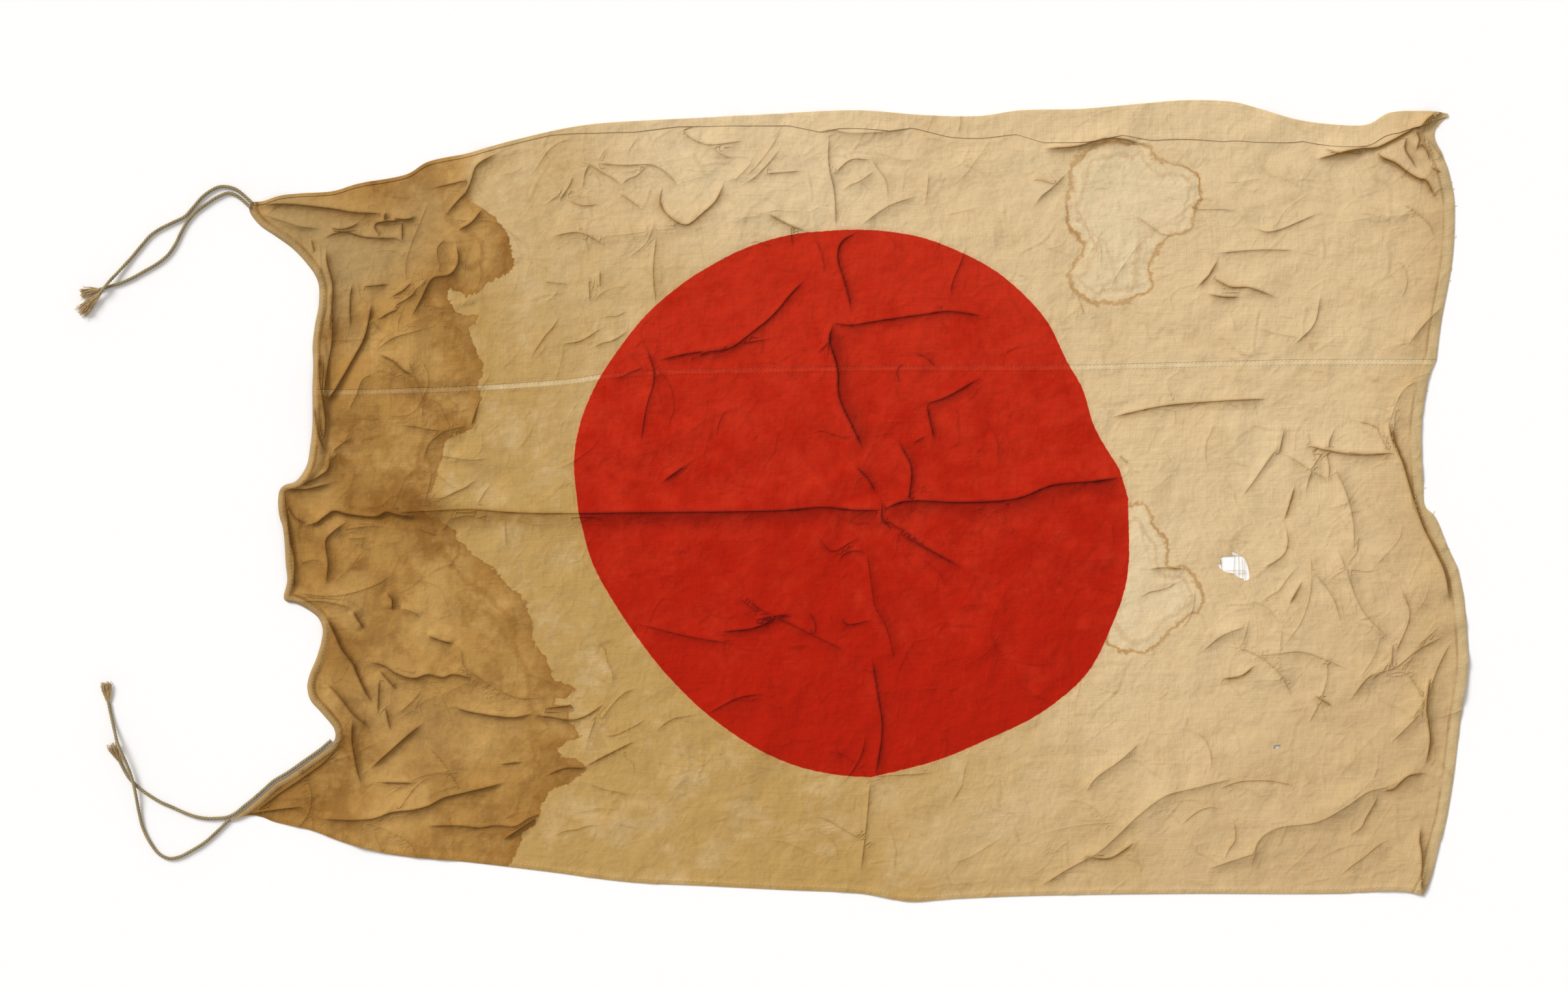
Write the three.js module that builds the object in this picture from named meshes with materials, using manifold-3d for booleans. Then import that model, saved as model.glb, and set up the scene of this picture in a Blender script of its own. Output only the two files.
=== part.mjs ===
// A worn cotton flag with cord ties, laid out flat. A narrow upper cloth and a wide lower cloth
// meet at one level seam. The top margin is turned over to the front, and the cloth keeps the
// creases and ridges of long storage. Two pairs of laid cord ties leave the hoist corners.
//
// Millimetres. X runs from the hoist to the fly, Y up the flag, and Z up from the surface on which
// it lies. The origin is under the middle of the cloth.
import * as THREE from 'three';
import { mergeVertices } from 'three/addons/utils/BufferGeometryUtils.js';
import Module from 'manifold-3d';

const wasm = await Module();
wasm.setup();

// ---------------------------------------------------------------- driving dimensions

const CLOTH = 1.2; // thickness of one layer
const HEM = 2.2; // thickness where the edge is turned under and sewn
const HEM_WIDTH = 12; // at the hoist and the fly
const SEAM_WIDTH = 7; // the felled seam's raised strip, on the lower cloth
const CLEARANCE = 0.3; // between pieces that meet
const LAYER_GAP = 1.0; // between the turned-over margin and the cloth under it
const BEND_INSET = 1.2; // from the folded edge to where the layers lie flat again

const CORD = 4.5; // diameter of a tie
const CORD_SIDES = 8;
const CORD_STEP = 2.6; // in diameters, along the tie
const FRAY_SIDES = 10;
const FRAY_FLATNESS = 0.5; // a frayed end's height over its width
const FRAY_GAP = 0.7; // from a tie's end face to its frayed end, which may start at a slant
const FRAY_FLOOR = 0.3; // how far a frayed end's tip clears the surface
// a frayed end's radius against the share of its length, from the cord to the blunt tip
const FRAY_PROFILE = [[0, 0], [0.42, 0], [0.5, 0.2], [0.85, 0.6], [1, 0.88], [0.8, 1], [0, 1]];

// The cloth's slow rise and fall: the product of two waves, each [radians per mm in X, in Y],
// less a share that leaves most of the cloth lying on the surface.
const SWELL = { height: 1.6, waves: [[1 / 71, 1 / 190], [-1 / 230, 1 / 63]], lying: 0.25 };
const HOIST_ROLL = 4.5; // how far the hoist hem stands up
const HOIST_ROLL_WIDTH = 20;

// How the columns and rows of facets are spread: [from, to, number], as shares of the way across.
const COLUMNS = [[0, 0.015, 3], [0.015, 0.14, 9], [0.14, 0.88, 25], [0.88, 0.985, 5], [0.985, 1, 2]];
const LOWER_ROWS = [[0, 0.012, 1], [0.012, 0.986, 26], [0.986, 1, 1]];
const UPPER_ROWS = [[0, 1, 9]];

const CURVE_DIVISIONS = 1000; // how finely an edge's length is measured

// ---------------------------------------------------------------- outline

// The hoist edge below the seam, from the bottom corner up, with its square tab at mid height.
const HOIST_LOWER = [
  [-790, -410], [-784, -405], [-766, -391], [-749, -377], [-731, -361], [-713, -350], [-692, -335],
  [-671, -320], [-659, -311], [-654, -301], [-656, -290], [-661, -283], [-674, -268], [-686, -254],
  [-690, -237], [-687, -222], [-678, -200], [-672, -180], [-670, -163], [-676, -149], [-688, -139],
  [-703, -131], [-719, -126], [-715, -101], [-717, -80], [-718, -60], [-721, -32], [-725, -20],
  [-727, 2], [-725, 14], [-719, 20], [-706, 24], [-697, 33], [-690, 47], [-687, 62], [-683, 95],
  [-683, 141],
];
// The hoist edge above the seam, up to the pointed top corner.
const HOIST_UPPER = [
  [-683, 141], [-682, 172], [-683, 197], [-680, 224], [-675, 250], [-675, 273], [-679, 286],
  [-691, 303], [-709, 322], [-731, 338], [-750, 351], [-761, 364], [-764, 371], [-763, 377],
];
// The fly edge, from the bottom corner up to the seam and on to the turned top corner.
const FLY_LOWER = [
  [733, -503], [743, -481], [751, -448], [762, -409], [766, -388], [772, -350], [777, -308],
  [780, -282], [784, -253], [789, -220], [790, -190], [788, -160], [785, -126], [777, -87],
  [764, -58], [748, -20], [735, -6], [733, 23], [731, 57], [731, 99], [735, 130], [741, 160],
  [750, 180],
];
const FLY_UPPER = [
  [750, 180], [753, 207], [757, 235], [763, 266], [769, 300], [772, 330], [773, 367], [772, 389],
  [768, 408], [762, 430], [755, 446], [748, 460], [748, 472], [755, 482], [764, 490],
];
const BOTTOM = [
  [-790, -410], [-776, -404], [-763, -401], [-748, -403], [-733, -409], [-682, -421], [-642, -436],
  [-582, -451], [-482, -461], [-382, -473], [-282, -486], [-182, -491], [-82, -496], [18, -501],
  [78, -511], [128, -508], [218, -504], [418, -501], [618, -501], [706, -498], [733, -503],
];
const SEAM = [
  [-683, 141], [-619, 142], [-472, 147], [-350, 156], [-302, 163], [-31, 171], [279, 173],
  [577, 180], [750, 180],
];
const TOP = [
  [-763, 381], [-747, 382], [-724, 389], [-700, 392], [-657, 395], [-627, 404], [-562, 417],
  [-537, 432], [-482, 444], [-442, 456], [-367, 474], [-322, 481], [-262, 485], [-182, 489],
  [-102, 493], [-32, 497], [18, 498], [98, 492], [168, 491], [218, 498], [298, 500], [368, 506],
  [428, 511], [488, 509], [518, 502], [568, 487], [618, 480], [662, 480], [690, 495], [750, 496],
  [764, 494],
];
// How wide the margin is that's turned over to the front, along the top edge: [x, width].
const MARGIN = [
  [-763, 4], [-380, 5], [-322, 12], [-102, 14], [-35, 28], [60, 23], [164, 30], [247, 44],
  [387, 50], [478, 53], [536, 42], [600, 20], [650, 27], [709, 28], [764, 4],
];

// ---------------------------------------------------------------- creases

// Each crease is [height, reach, points]: a soft ridge over the line through the points, or a
// trough where the height is negative.
const CREASES = [
  // the level fold of storage, from the tab across the disc to the fly
  [6, 12, [[-692, -31], [-656, -13], [-602, -20], [-550, -20]]],
  [4, 10, [[-550, -20], [-482, -11], [-342, -16], [-182, -16], [-31, -8]]],
  [3.5, 12, [[43, -12], [70, -1], [215, 3], [260, 20], [346, 30]]],
  [3, 16, [[146, -7], [191, -24], [279, -74], [338, -74]]],
  // the upright fold of storage, down the middle
  [2.5, 14, [[-25, 466], [-25, 428], [-16, 349], [11, 330], [-14, 311], [3, 242]]],
  [4, 12, [[-19, 227], [-14, 168], [-12, 133], [3, 99], [35, 10]]],
  [4, 12, [[43, -2], [58, -34], [23, -64], [33, -133], [58, -202]]],
  [3, 14, [[30, -202], [43, -290], [35, -349], [23, -411], [16, -471]]],
  // the fan of folds in the upper hoist corner
  [5, 9, [[-746, 378], [-679, 375], [-623, 370], [-592, 366]]],
  [4, 9, [[-749, 366], [-700, 350], [-624, 355]]],
  [4, 12, [[-670, 334], [-641, 343], [-571, 335]]],
  // the gathered hoist edge above the tab, and the pleat that laps over it
  [7, 12, [[-642, 320], [-636, 276], [-640, 221], [-652, 172], [-664, 123]]],
  [6, 10, [[-612, 270], [-616, 229], [-632, 185], [-660, 130]]],
  [4, 14, [[-602, 192], [-559, 214], [-541, 219]]],
  [4, 12, [[-595, 189], [-564, 165], [-552, 160]]],
  // folds round the square tab
  [5, 10, [[-717, -4], [-706, -20], [-693, -28]]],
  [5, 12, [[-672, -104], [-669, -60], [-656, -42], [-637, -28]]],
  [5, 10, [[-700, -110], [-667, -110], [-637, -110], [-600, -100]]],
  // the deep folds that run down to the lower hoist corner
  [8, 12, [[-658, -148], [-645, -175], [-632, -200], [-617, -235], [-605, -256]]],
  [7, 12, [[-668, -225], [-645, -240], [-622, -264], [-605, -285]]],
  [5, 14, [[-650, -300], [-656, -335], [-700, -385]]],
  [5, 12, [[-608, -341], [-564, -300], [-547, -285]]],
  [4, 12, [[-594, -210], [-554, -226], [-506, -222], [-451, -237]]],
  [3.5, 12, [[-537, -173], [-501, -183], [-471, -224]]],
  [3, 14, [[-508, -259], [-472, -271], [-353, -265]]],
  // the soft folds of the upper cloth
  [4, 16, [[-240, 390], [-207, 352], [-169, 383]]],
  [3, 16, [[-376, 342], [-307, 338], [-211, 349]]],
  [3, 14, [[445, 273], [461, 287], [511, 272], [544, 260]]],
  [5, 14, [[672, 445], [715, 417], [744, 400]]],
  [4, 16, [[629, 355], [701, 364], [734, 368]]],
  // the fly: the fold beside the hem, and the long slanting folds below
  [7, 14, [[690, 99], [700, 52], [726, -15], [747, -62], [762, -125]]],
  [5, 14, [[736, -223], [735, -282], [733, -335]]],
  [5, 16, [[730, -342], [637, -388], [522, -435], [514, -469]]],
  [5, 16, [[489, -354], [404, -376], [344, -426], [247, -490]]],
  [4, 14, [[552, 99], [535, 52], [501, 4]]],
  [4, 14, [[616, 48], [643, -24], [637, -96], [688, -176]]],
  [4, 12, [[582, 72], [650, 59], [690, 61]]],
  [6, 9, [[729, -416], [728, -446], [729, -495]]],
];

// Where cloth is lost: [x, y, radius].
const HOLES = [[491, -81, 18], [546, -314, 5]];
const HOLE_SIDES = 14;
const HOLE_DEPTH = 60; // of the cutter, which passes right through
const MERGE_WITHIN = 1e-3; // points closer than this become one

// ---------------------------------------------------------------- ties

// A tie's route, from where it leaves the cloth to its frayed end. The upper pair lie side by
// side and cross once. Of the lower pair, one runs along the hoist edge before it's free, and
// the other passes over it twice.
const REST = CORD / 2 + 0.1; // height of a cord's middle as it lies
const TIES = {
  upper_a: {
    route: [
      [-762.8, 382.1, REST], [-779, 396, REST], [-789, 400, REST], [-801, 400.5, REST],
      [-812, 396, REST], [-824, 387, REST], [-835, 374.5, REST], [-846, 362.5, REST],
      [-863, 354, REST], [-877, 347, REST], [-889, 339, REST], [-899, 328, REST],
      [-914, 310, 2.6], [-931, 291, 4.4], [-941, 280, 6.6], [-948, 271, 7.5], [-954.5, 262.5, 5.8],
    ],
    fray: { end: [-980, 238], width: 14 },
  },
  upper_b: {
    route: [
      [-765.2, 376.8, REST], [-779, 388.5, REST], [-790, 392.5, REST], [-804, 387.5, REST],
      [-817.5, 379, REST], [-831, 369, REST], [-842, 357, REST], [-850, 343.5, REST],
      [-857.5, 328, REST], [-867, 314, REST], [-880, 303, REST], [-897, 293, REST],
      [-914, 283.5, REST], [-929, 277, REST], [-941, 273.5, REST], [-956, 269, REST],
    ],
    fray: { end: [-979, 264], width: 12 },
  },
  lower_a: {
    route: [
      [-662.5, -308, REST], [-673, -317, REST], [-695, -332.5, REST], [-714, -346, REST],
      [-733, -357.5, REST], [-751, -373.5, REST], [-768, -387.5, REST], [-788, -402, REST],
      [-808, -405, REST], [-826, -404, REST], [-843, -399, REST], [-861, -391, REST],
      [-877, -384, REST], [-892, -375, REST], [-905, -365.5, REST], [-915, -356, REST],
      [-923, -344, REST], [-929, -331.5, REST],
    ],
    fray: { end: [-938, -309], width: 14 },
  },
  lower_b: {
    route: [
      [-791.9, -408.9, REST], [-805, -422, REST], [-821, -436, REST], [-838, -446.5, REST],
      [-853, -454, REST], [-866, -456, REST], [-879, -450, REST], [-890, -436, REST],
      [-899, -418, 2.6], [-904, -398, 3.6], [-907.5, -376, 6.4], [-910.5, -361, 7.6],
      [-915, -346, 7.8], [-920, -333, 8.8], [-926, -320, 10.2], [-931, -307, 9.4],
      [-935.5, -291, 5.4], [-939.5, -275, 2.8], [-943.5, -256, REST],
    ],
    fray: { end: [-947, -231], width: 13 },
  },
};

// ---------------------------------------------------------------- small tools

const { clamp, lerp } = THREE.MathUtils;

// A smooth curve through plan points, read by its share of length.
function curveThrough(points) {
  const corners = points.map(([x, y]) => new THREE.Vector3(x, y, 0));
  const curve = new THREE.CatmullRomCurve3(corners, false, 'centripetal');
  curve.arcLengthDivisions = CURVE_DIVISIONS;
  return (share) => curve.getPointAt(clamp(share, 0, 1));
}

// Shares of the way across, spread as a list of [from, to, number] runs says.
function spread(runs) {
  const shares = [runs[0][0]];
  for (const [from, to, number] of runs) {
    for (let i = 1; i <= number; i += 1) shares.push(lerp(from, to, i / number));
  }
  return shares;
}

// A value read from a list of [x, value], with straight lines between its entries.
function readOff(list, x) {
  const next = list.findIndex(([at]) => at >= x);
  if (next === 0) return list[0][1];
  if (next < 0) return list[list.length - 1][1];
  const [[x0, v0], [x1, v1]] = [list[next - 1], list[next]];
  return lerp(v0, v1, (x - x0) / (x1 - x0));
}

// ---------------------------------------------------------------- the cloth's relief

const creaseLines = CREASES.map(([height, reach, points]) => {
  const corners = points.map(([x, y]) => new THREE.Vector3(x, y, 0));
  const lines = corners.slice(1).map((end, i) => new THREE.Line3(corners[i], end));
  return { height, reach, lines };
});

function swell(x, y) {
  const [first, second] = SWELL.waves.map(([inX, inY]) => Math.sin(inX * x + inY * y));
  return SWELL.height * (first * second - SWELL.lying);
}

// How far the cloth's underside stands off the surface at a plan point. It's nought where it lies.
function lift(x, y) {
  const here = new THREE.Vector3(x, y, 0);
  const nearest = new THREE.Vector3();
  let rise = swell(x, y);
  for (const { height, reach, lines } of creaseLines) {
    let distance = Infinity;
    for (const line of lines) {
      line.closestPointToPoint(here, true, nearest);
      distance = Math.min(distance, nearest.distanceTo(here));
    }
    rise += height * Math.exp(-((distance / reach) ** 2));
  }
  return Math.max(0, rise);
}

// The extra rise of the rolled hoist hem, by the distance from the hoist edge.
function hoistRoll(distance) {
  if (distance >= HOIST_ROLL_WIDTH) return 0;
  return HOIST_ROLL * Math.sin((Math.PI * distance) / HOIST_ROLL_WIDTH);
}

// ---------------------------------------------------------------- building a sheet

// Four edges filled with a smooth patch. An edge's own wander fades out across the sheet. The
// corners are the left and right edges', so a seam edge that's set back a little stays set back.
function patchBetween(bottom, top, left, right) {
  const corner = {
    bl: left(0), br: right(0), tl: left(1), tr: right(1),
  };
  return (u, v) => {
    const across = bottom(u).multiplyScalar(1 - v).add(top(u).multiplyScalar(v));
    const along = left(v).multiplyScalar(1 - u).add(right(v).multiplyScalar(u));
    const shared = corner.bl.clone().multiplyScalar((1 - u) * (1 - v))
      .add(corner.br.clone().multiplyScalar(u * (1 - v)))
      .add(corner.tl.clone().multiplyScalar((1 - u) * v))
      .add(corner.tr.clone().multiplyScalar(u * v));
    return across.add(along).sub(shared);
  };
}

// A closed sheet from a grid of [outer point, inner point] pairs, one row after another. Rows
// from foldRow on lie turned over, so their facets are split along the other diagonal, as the
// facets under them are.
function sheetFrom(rows, foldRow = Infinity) {
  const across = rows[0].length;
  const positions = [];
  for (const side of [0, 1]) {
    for (const row of rows) for (const pair of row) positions.push(...pair[side]);
  }
  const index = [];
  const at = (side, j, i) => (side * rows.length + j) * across + i;
  const quad = (a, b, c, d, otherWay) => {
    if (otherWay) index.push(a, b, d, b, c, d);
    else index.push(a, b, c, a, c, d);
  };
  for (let j = 0; j + 1 < rows.length; j += 1) {
    const over = j >= foldRow;
    for (let i = 0; i + 1 < across; i += 1) {
      quad(at(0, j, i), at(0, j + 1, i), at(0, j + 1, i + 1), at(0, j, i + 1), over);
      quad(at(1, j, i), at(1, j, i + 1), at(1, j + 1, i + 1), at(1, j + 1, i), over);
    }
    quad(at(0, j, 0), at(1, j, 0), at(1, j + 1, 0), at(0, j + 1, 0), false);
    quad(at(0, j + 1, across - 1), at(1, j + 1, across - 1), at(1, j, across - 1),
      at(0, j, across - 1), false);
  }
  const last = rows.length - 1;
  for (let i = 0; i + 1 < across; i += 1) {
    quad(at(0, 0, i), at(0, 0, i + 1), at(1, 0, i + 1), at(1, 0, i), false);
    quad(at(0, last, i + 1), at(0, last, i), at(1, last, i), at(1, last, i + 1), false);
  }
  const geometry = new THREE.BufferGeometry();
  geometry.setAttribute('position', new THREE.Float32BufferAttribute(positions, 3));
  geometry.setIndex(index);
  return geometry;
}

// The pair of points, under and over the cloth, at a plan point.
function layer(x, y, thickness, hoistDistance) {
  const under = lift(x, y) + hoistRoll(hoistDistance);
  return [[x, y, under], [x, y, under + thickness]];
}

// Distances from the hoist and the fly along one row of plan points.
function edgeDistances(points) {
  return points.map((point) => ({
    hoist: point.distanceTo(points[0]),
    fly: point.distanceTo(points[points.length - 1]),
  }));
}

const isHem = ({ hoist, fly }) => hoist < HEM_WIDTH || fly < HEM_WIDTH;

function lowerPanel() {
  const seam = curveThrough(SEAM);
  const underSeam = (share) => seam(share).setY(seam(share).y - CLEARANCE / 2);
  const patch = patchBetween(
    curveThrough(BOTTOM), underSeam, curveThrough(HOIST_LOWER), curveThrough(FLY_LOWER),
  );
  const columns = spread(COLUMNS);
  const rows = spread(LOWER_ROWS).map((v) => {
    const points = columns.map((u) => patch(u, v));
    const distances = edgeDistances(points);
    return points.map((point, i) => {
      const nearSeam = underSeam(columns[i]).y - point.y < SEAM_WIDTH;
      const nearBottom = v === 0;
      const thickness = nearSeam || nearBottom || isHem(distances[i]) ? HEM : CLOTH;
      return layer(point.x, point.y, thickness, distances[i].hoist);
    });
  });
  return sheetFrom(rows);
}

function upperPanel() {
  const top = curveThrough(TOP);
  const seam = curveThrough(SEAM);
  const marginWidth = (x) => readOff(MARGIN, x);
  const marginLine = (share) => top(share).setY(top(share).y - marginWidth(top(share).x));
  const aboveSeam = (share) => seam(share).setY(seam(share).y + CLEARANCE / 2);
  const patch = patchBetween(
    aboveSeam, marginLine, curveThrough(HOIST_UPPER), curveThrough(FLY_UPPER),
  );
  const columns = spread(COLUMNS);
  const rows = spread(UPPER_ROWS).map((v) => {
    const points = columns.map((u) => patch(u, v));
    const distances = edgeDistances(points);
    // The hem and its roll run out before the turned-over margin begins.
    return points.map((point, i) => layer(
      point.x, point.y, v < 1 && isHem(distances[i]) ? HEM : CLOTH,
      v < 1 ? distances[i].hoist : HOIST_ROLL_WIDTH,
    ));
  });

  // The margin: on up to the fold, round it, and back over itself.
  const insets = (width) => [width / 2, BEND_INSET];
  const edge = columns.map((u) => top(u));
  const marginRow = (place, bottomSide, topSide) => edge.map((point) => {
    const inset = place(marginWidth(point.x));
    const y = point.y - inset;
    const base = lift(point.x, y);
    return [[point.x, y, base + bottomSide], [point.x, y, base + topSide]];
  });
  for (const k of [0, 1]) rows.push(marginRow((width) => insets(width)[k], 0, CLOTH));
  const middle = CLOTH + LAYER_GAP / 2;
  rows.push(edge.map((point) => {
    const base = lift(point.x, point.y - BEND_INSET);
    return [[point.x, point.y, base + middle], [point.x, point.y - BEND_INSET / 2, base + middle]];
  }));
  const foldRow = rows.length - 1;
  const overTop = 2 * CLOTH + LAYER_GAP;
  for (const k of [1, 0]) {
    rows.push(marginRow((width) => insets(width)[k], overTop, CLOTH + LAYER_GAP));
  }
  rows.push(marginRow((width) => width, overTop, CLOTH + LAYER_GAP));
  return sheetFrom(rows, foldRow);
}

// ---------------------------------------------------------------- holes

function toManifold(geometry) {
  const bare = new THREE.BufferGeometry();
  bare.setAttribute('position', geometry.getAttribute('position'));
  bare.setIndex(geometry.index);
  const merged = mergeVertices(bare, MERGE_WITHIN);
  return new wasm.Manifold(new wasm.Mesh({
    numProp: 3,
    vertProperties: merged.getAttribute('position').array,
    triVerts: new Uint32Array(merged.index.array),
  }));
}

function fromManifold(solid) {
  const { vertProperties, triVerts } = solid.getMesh();
  const geometry = new THREE.BufferGeometry();
  geometry.setAttribute('position', new THREE.BufferAttribute(vertProperties, 3));
  geometry.setIndex(new THREE.BufferAttribute(triVerts, 1));
  return geometry;
}

// A sheet with its holes cut right through.
function withHoles(sheet) {
  let solid = toManifold(sheet);
  for (const [x, y, radius] of HOLES) {
    const cutter = new THREE.CylinderGeometry(radius, radius, HOLE_DEPTH, HOLE_SIDES);
    cutter.rotateX(Math.PI / 2).translate(x, y, 0);
    solid = solid.subtract(toManifold(cutter));
  }
  return fromManifold(solid);
}

// ---------------------------------------------------------------- cords

function cordTube(route) {
  const corners = route.map((point) => new THREE.Vector3(...point));
  const path = new THREE.CatmullRomCurve3(corners, false, 'centripetal');
  const section = new THREE.Shape();
  for (let k = 0; k < CORD_SIDES; k += 1) {
    const turn = (2 * Math.PI * (k + 0.5)) / CORD_SIDES;
    const [x, y] = [(CORD / 2) * Math.cos(turn), (CORD / 2) * Math.sin(turn)];
    if (k === 0) section.moveTo(x, y);
    else section.lineTo(x, y);
  }
  section.closePath();
  const steps = Math.round(path.getLength() / (CORD * CORD_STEP));
  return new THREE.ExtrudeGeometry(section, {
    steps, extrudePath: path, bevelEnabled: false, curveSegments: 1,
  });
}

// The spread and flattened brush of yarns at a tie's end.
function frayedEnd(route, { end, width }) {
  const tail = new THREE.Vector3(...route[route.length - 1]);
  const before = new THREE.Vector3(...route[route.length - 2]);
  const heading = tail.clone().sub(before).setZ(0).normalize();
  const start = tail.clone().addScaledVector(heading, FRAY_GAP);
  const tip = new THREE.Vector3(end[0], end[1], (width * FRAY_FLATNESS) / 2 + FRAY_FLOOR);
  const length = start.distanceTo(tip);
  const profile = FRAY_PROFILE
    .map(([share, along]) => new THREE.Vector2((share * width) / 2, along * length));
  const brush = new THREE.LatheGeometry(profile, FRAY_SIDES);
  brush.scale(1, 1, FRAY_FLATNESS);
  const axis = tip.clone().sub(start).normalize();
  const side = new THREE.Vector3(axis.y, -axis.x, 0).normalize();
  const up = new THREE.Vector3().crossVectors(side, axis);
  const placed = new THREE.Matrix4().makeBasis(side, axis, up).setPosition(start);
  return brush.applyMatrix4(placed);
}

// ---------------------------------------------------------------- the flag

const cotton = new THREE.MeshStandardMaterial({ color: '#d4b587', roughness: 0.95, metalness: 0 });
const stainedCotton = new THREE.MeshStandardMaterial({
  color: '#b98c4e', roughness: 0.95, metalness: 0,
});
const cordCotton = new THREE.MeshStandardMaterial({
  color: '#7f7258', roughness: 0.95, metalness: 0,
});

const flag = new THREE.Group();

function addPiece(name, geometry, material) {
  const piece = new THREE.Mesh(geometry, material);
  piece.name = name;
  flag.add(piece);
}

addPiece('upper_panel', upperPanel(), cotton);
addPiece('lower_panel', withHoles(lowerPanel()), stainedCotton);
for (const [name, { route, fray }] of Object.entries(TIES)) {
  addPiece(`tie_${name}`, cordTube(route), cordCotton);
  addPiece(`frayed_end_${name}`, frayedEnd(route, fray), cordCotton);
}

export default flag;
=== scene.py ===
"""A worn cotton flag with twisted cord ties, laid out flat on a pale floor.

Two cloths meet at one felled seam. A dyed disc lies across both. The top margin is turned over
to the front, and the hoist is gathered, stained and stiff with age.

Outlines and creases are in the loaded frame's millimetres, and everything made is in metres.
"""

import math
import random
from collections import namedtuple

import bmesh
import bpy
import numpy as np
from bpy.props import FloatProperty, FloatVectorProperty, IntProperty, PointerProperty
from mathutils import Matrix, Vector, noise
from mathutils.bvhtree import BVHTree


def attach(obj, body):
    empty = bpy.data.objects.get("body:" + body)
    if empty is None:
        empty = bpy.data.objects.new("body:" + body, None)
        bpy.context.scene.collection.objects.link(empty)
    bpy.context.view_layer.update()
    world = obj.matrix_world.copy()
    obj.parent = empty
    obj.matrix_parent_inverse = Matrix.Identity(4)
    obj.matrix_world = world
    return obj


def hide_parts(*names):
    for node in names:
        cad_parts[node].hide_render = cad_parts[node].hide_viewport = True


bl_info = {
    "name": "Worn Cotton Flag",
    "version": (1, 0, 0),
    "blender": (4, 5, 0),
    "location": "View3D > Sidebar > Flag",
    "description": "Makes an old cotton flag with cord ties, laid out flat",
    "category": "Add Mesh",
}

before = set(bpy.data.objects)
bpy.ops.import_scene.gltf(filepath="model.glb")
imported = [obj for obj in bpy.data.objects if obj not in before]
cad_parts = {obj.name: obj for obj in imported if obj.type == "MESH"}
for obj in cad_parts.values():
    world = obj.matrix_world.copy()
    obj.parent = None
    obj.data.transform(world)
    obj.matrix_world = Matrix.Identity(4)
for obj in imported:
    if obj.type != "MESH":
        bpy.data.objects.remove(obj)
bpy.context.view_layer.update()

MM = 0.001


def linear(code):
    """A colour from its sRGB hex value, as linear red, green, blue and alpha."""
    shares = [int(code[k:k + 2], 16) / 255 for k in (1, 3, 5)]
    return [c / 12.92 if c <= 0.04045 else ((c + 0.055) / 1.055) ** 2.4 for c in shares] + [1.0]


# ---------------------------------------------------------------- outlines, in millimetres

HOIST_LOWER = [
    (-790, -410), (-784, -405), (-766, -391), (-749, -377), (-731, -361), (-713, -350),
    (-692, -335), (-671, -320), (-659, -311), (-654, -301), (-656, -290), (-661, -283),
    (-674, -268), (-686, -254), (-690, -237), (-687, -222), (-678, -200), (-672, -180),
    (-670, -163), (-676, -149), (-688, -139), (-703, -131), (-719, -126), (-715, -101),
    (-717, -80), (-718, -60), (-721, -32), (-725, -20), (-727, 2), (-725, 14), (-719, 20),
    (-706, 24), (-697, 33), (-690, 47), (-687, 62), (-683, 95), (-683, 141),
]
HOIST_UPPER = [
    (-683, 141), (-682, 172), (-683, 197), (-680, 224), (-675, 250), (-675, 273), (-679, 286),
    (-691, 303), (-709, 322), (-731, 338), (-750, 351), (-761, 364), (-764, 371), (-763, 377),
]
FLY_LOWER = [
    (733, -503), (743, -481), (751, -448), (762, -409), (766, -388), (772, -350), (777, -308),
    (780, -282), (784, -253), (789, -220), (790, -190), (788, -160), (785, -126), (777, -87),
    (764, -58), (748, -20), (735, -6), (733, 23), (731, 57), (731, 99), (735, 130), (741, 160),
    (750, 180),
]
FLY_UPPER = [
    (750, 180), (753, 207), (757, 235), (763, 266), (769, 300), (772, 330), (773, 367),
    (772, 389), (768, 408), (762, 430), (755, 446), (748, 460), (748, 472), (755, 482), (764, 490),
]
BOTTOM = [
    (-790, -410), (-776, -404), (-763, -401), (-748, -403), (-733, -409), (-682, -421),
    (-642, -436), (-582, -451), (-482, -461), (-382, -473), (-282, -486), (-182, -491),
    (-82, -496), (18, -501), (78, -511), (128, -508), (218, -504), (418, -501), (618, -501),
    (706, -498), (733, -503),
]
SEAM = [
    (-683, 141), (-619, 142), (-472, 147), (-350, 156), (-302, 163), (-31, 171), (279, 173),
    (577, 180), (750, 180),
]
TOP = [
    (-763, 381), (-747, 382), (-724, 389), (-700, 392), (-657, 395), (-627, 404), (-562, 417),
    (-537, 432), (-482, 444), (-442, 456), (-367, 474), (-322, 481), (-262, 485), (-182, 489),
    (-102, 493), (-32, 497), (18, 498), (98, 492), (168, 491), (218, 498), (298, 500), (368, 506),
    (428, 511), (488, 509), (518, 502), (568, 487), (618, 480), (662, 480), (690, 495),
    (750, 496), (764, 494),
]
SEAM_GAP = 0.3  # between the two cloths
# How wide the turned-over margin is along the top edge: (x, width).
MARGIN = [
    (-763, 4), (-380, 5), (-322, 12), (-273, 14), (-218, 10), (-135, 13), (-76, 16), (-35, 27),
    (-11, 23), (54, 24), (82, 17), (130, 27), (213, 30), (247, 42), (309, 43), (350, 38),
    (387, 48), (437, 50), (478, 52), (520, 44), (580, 26), (620, 28), (655, 27), (700, 28),
    (735, 18), (764, 4),
]

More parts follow.
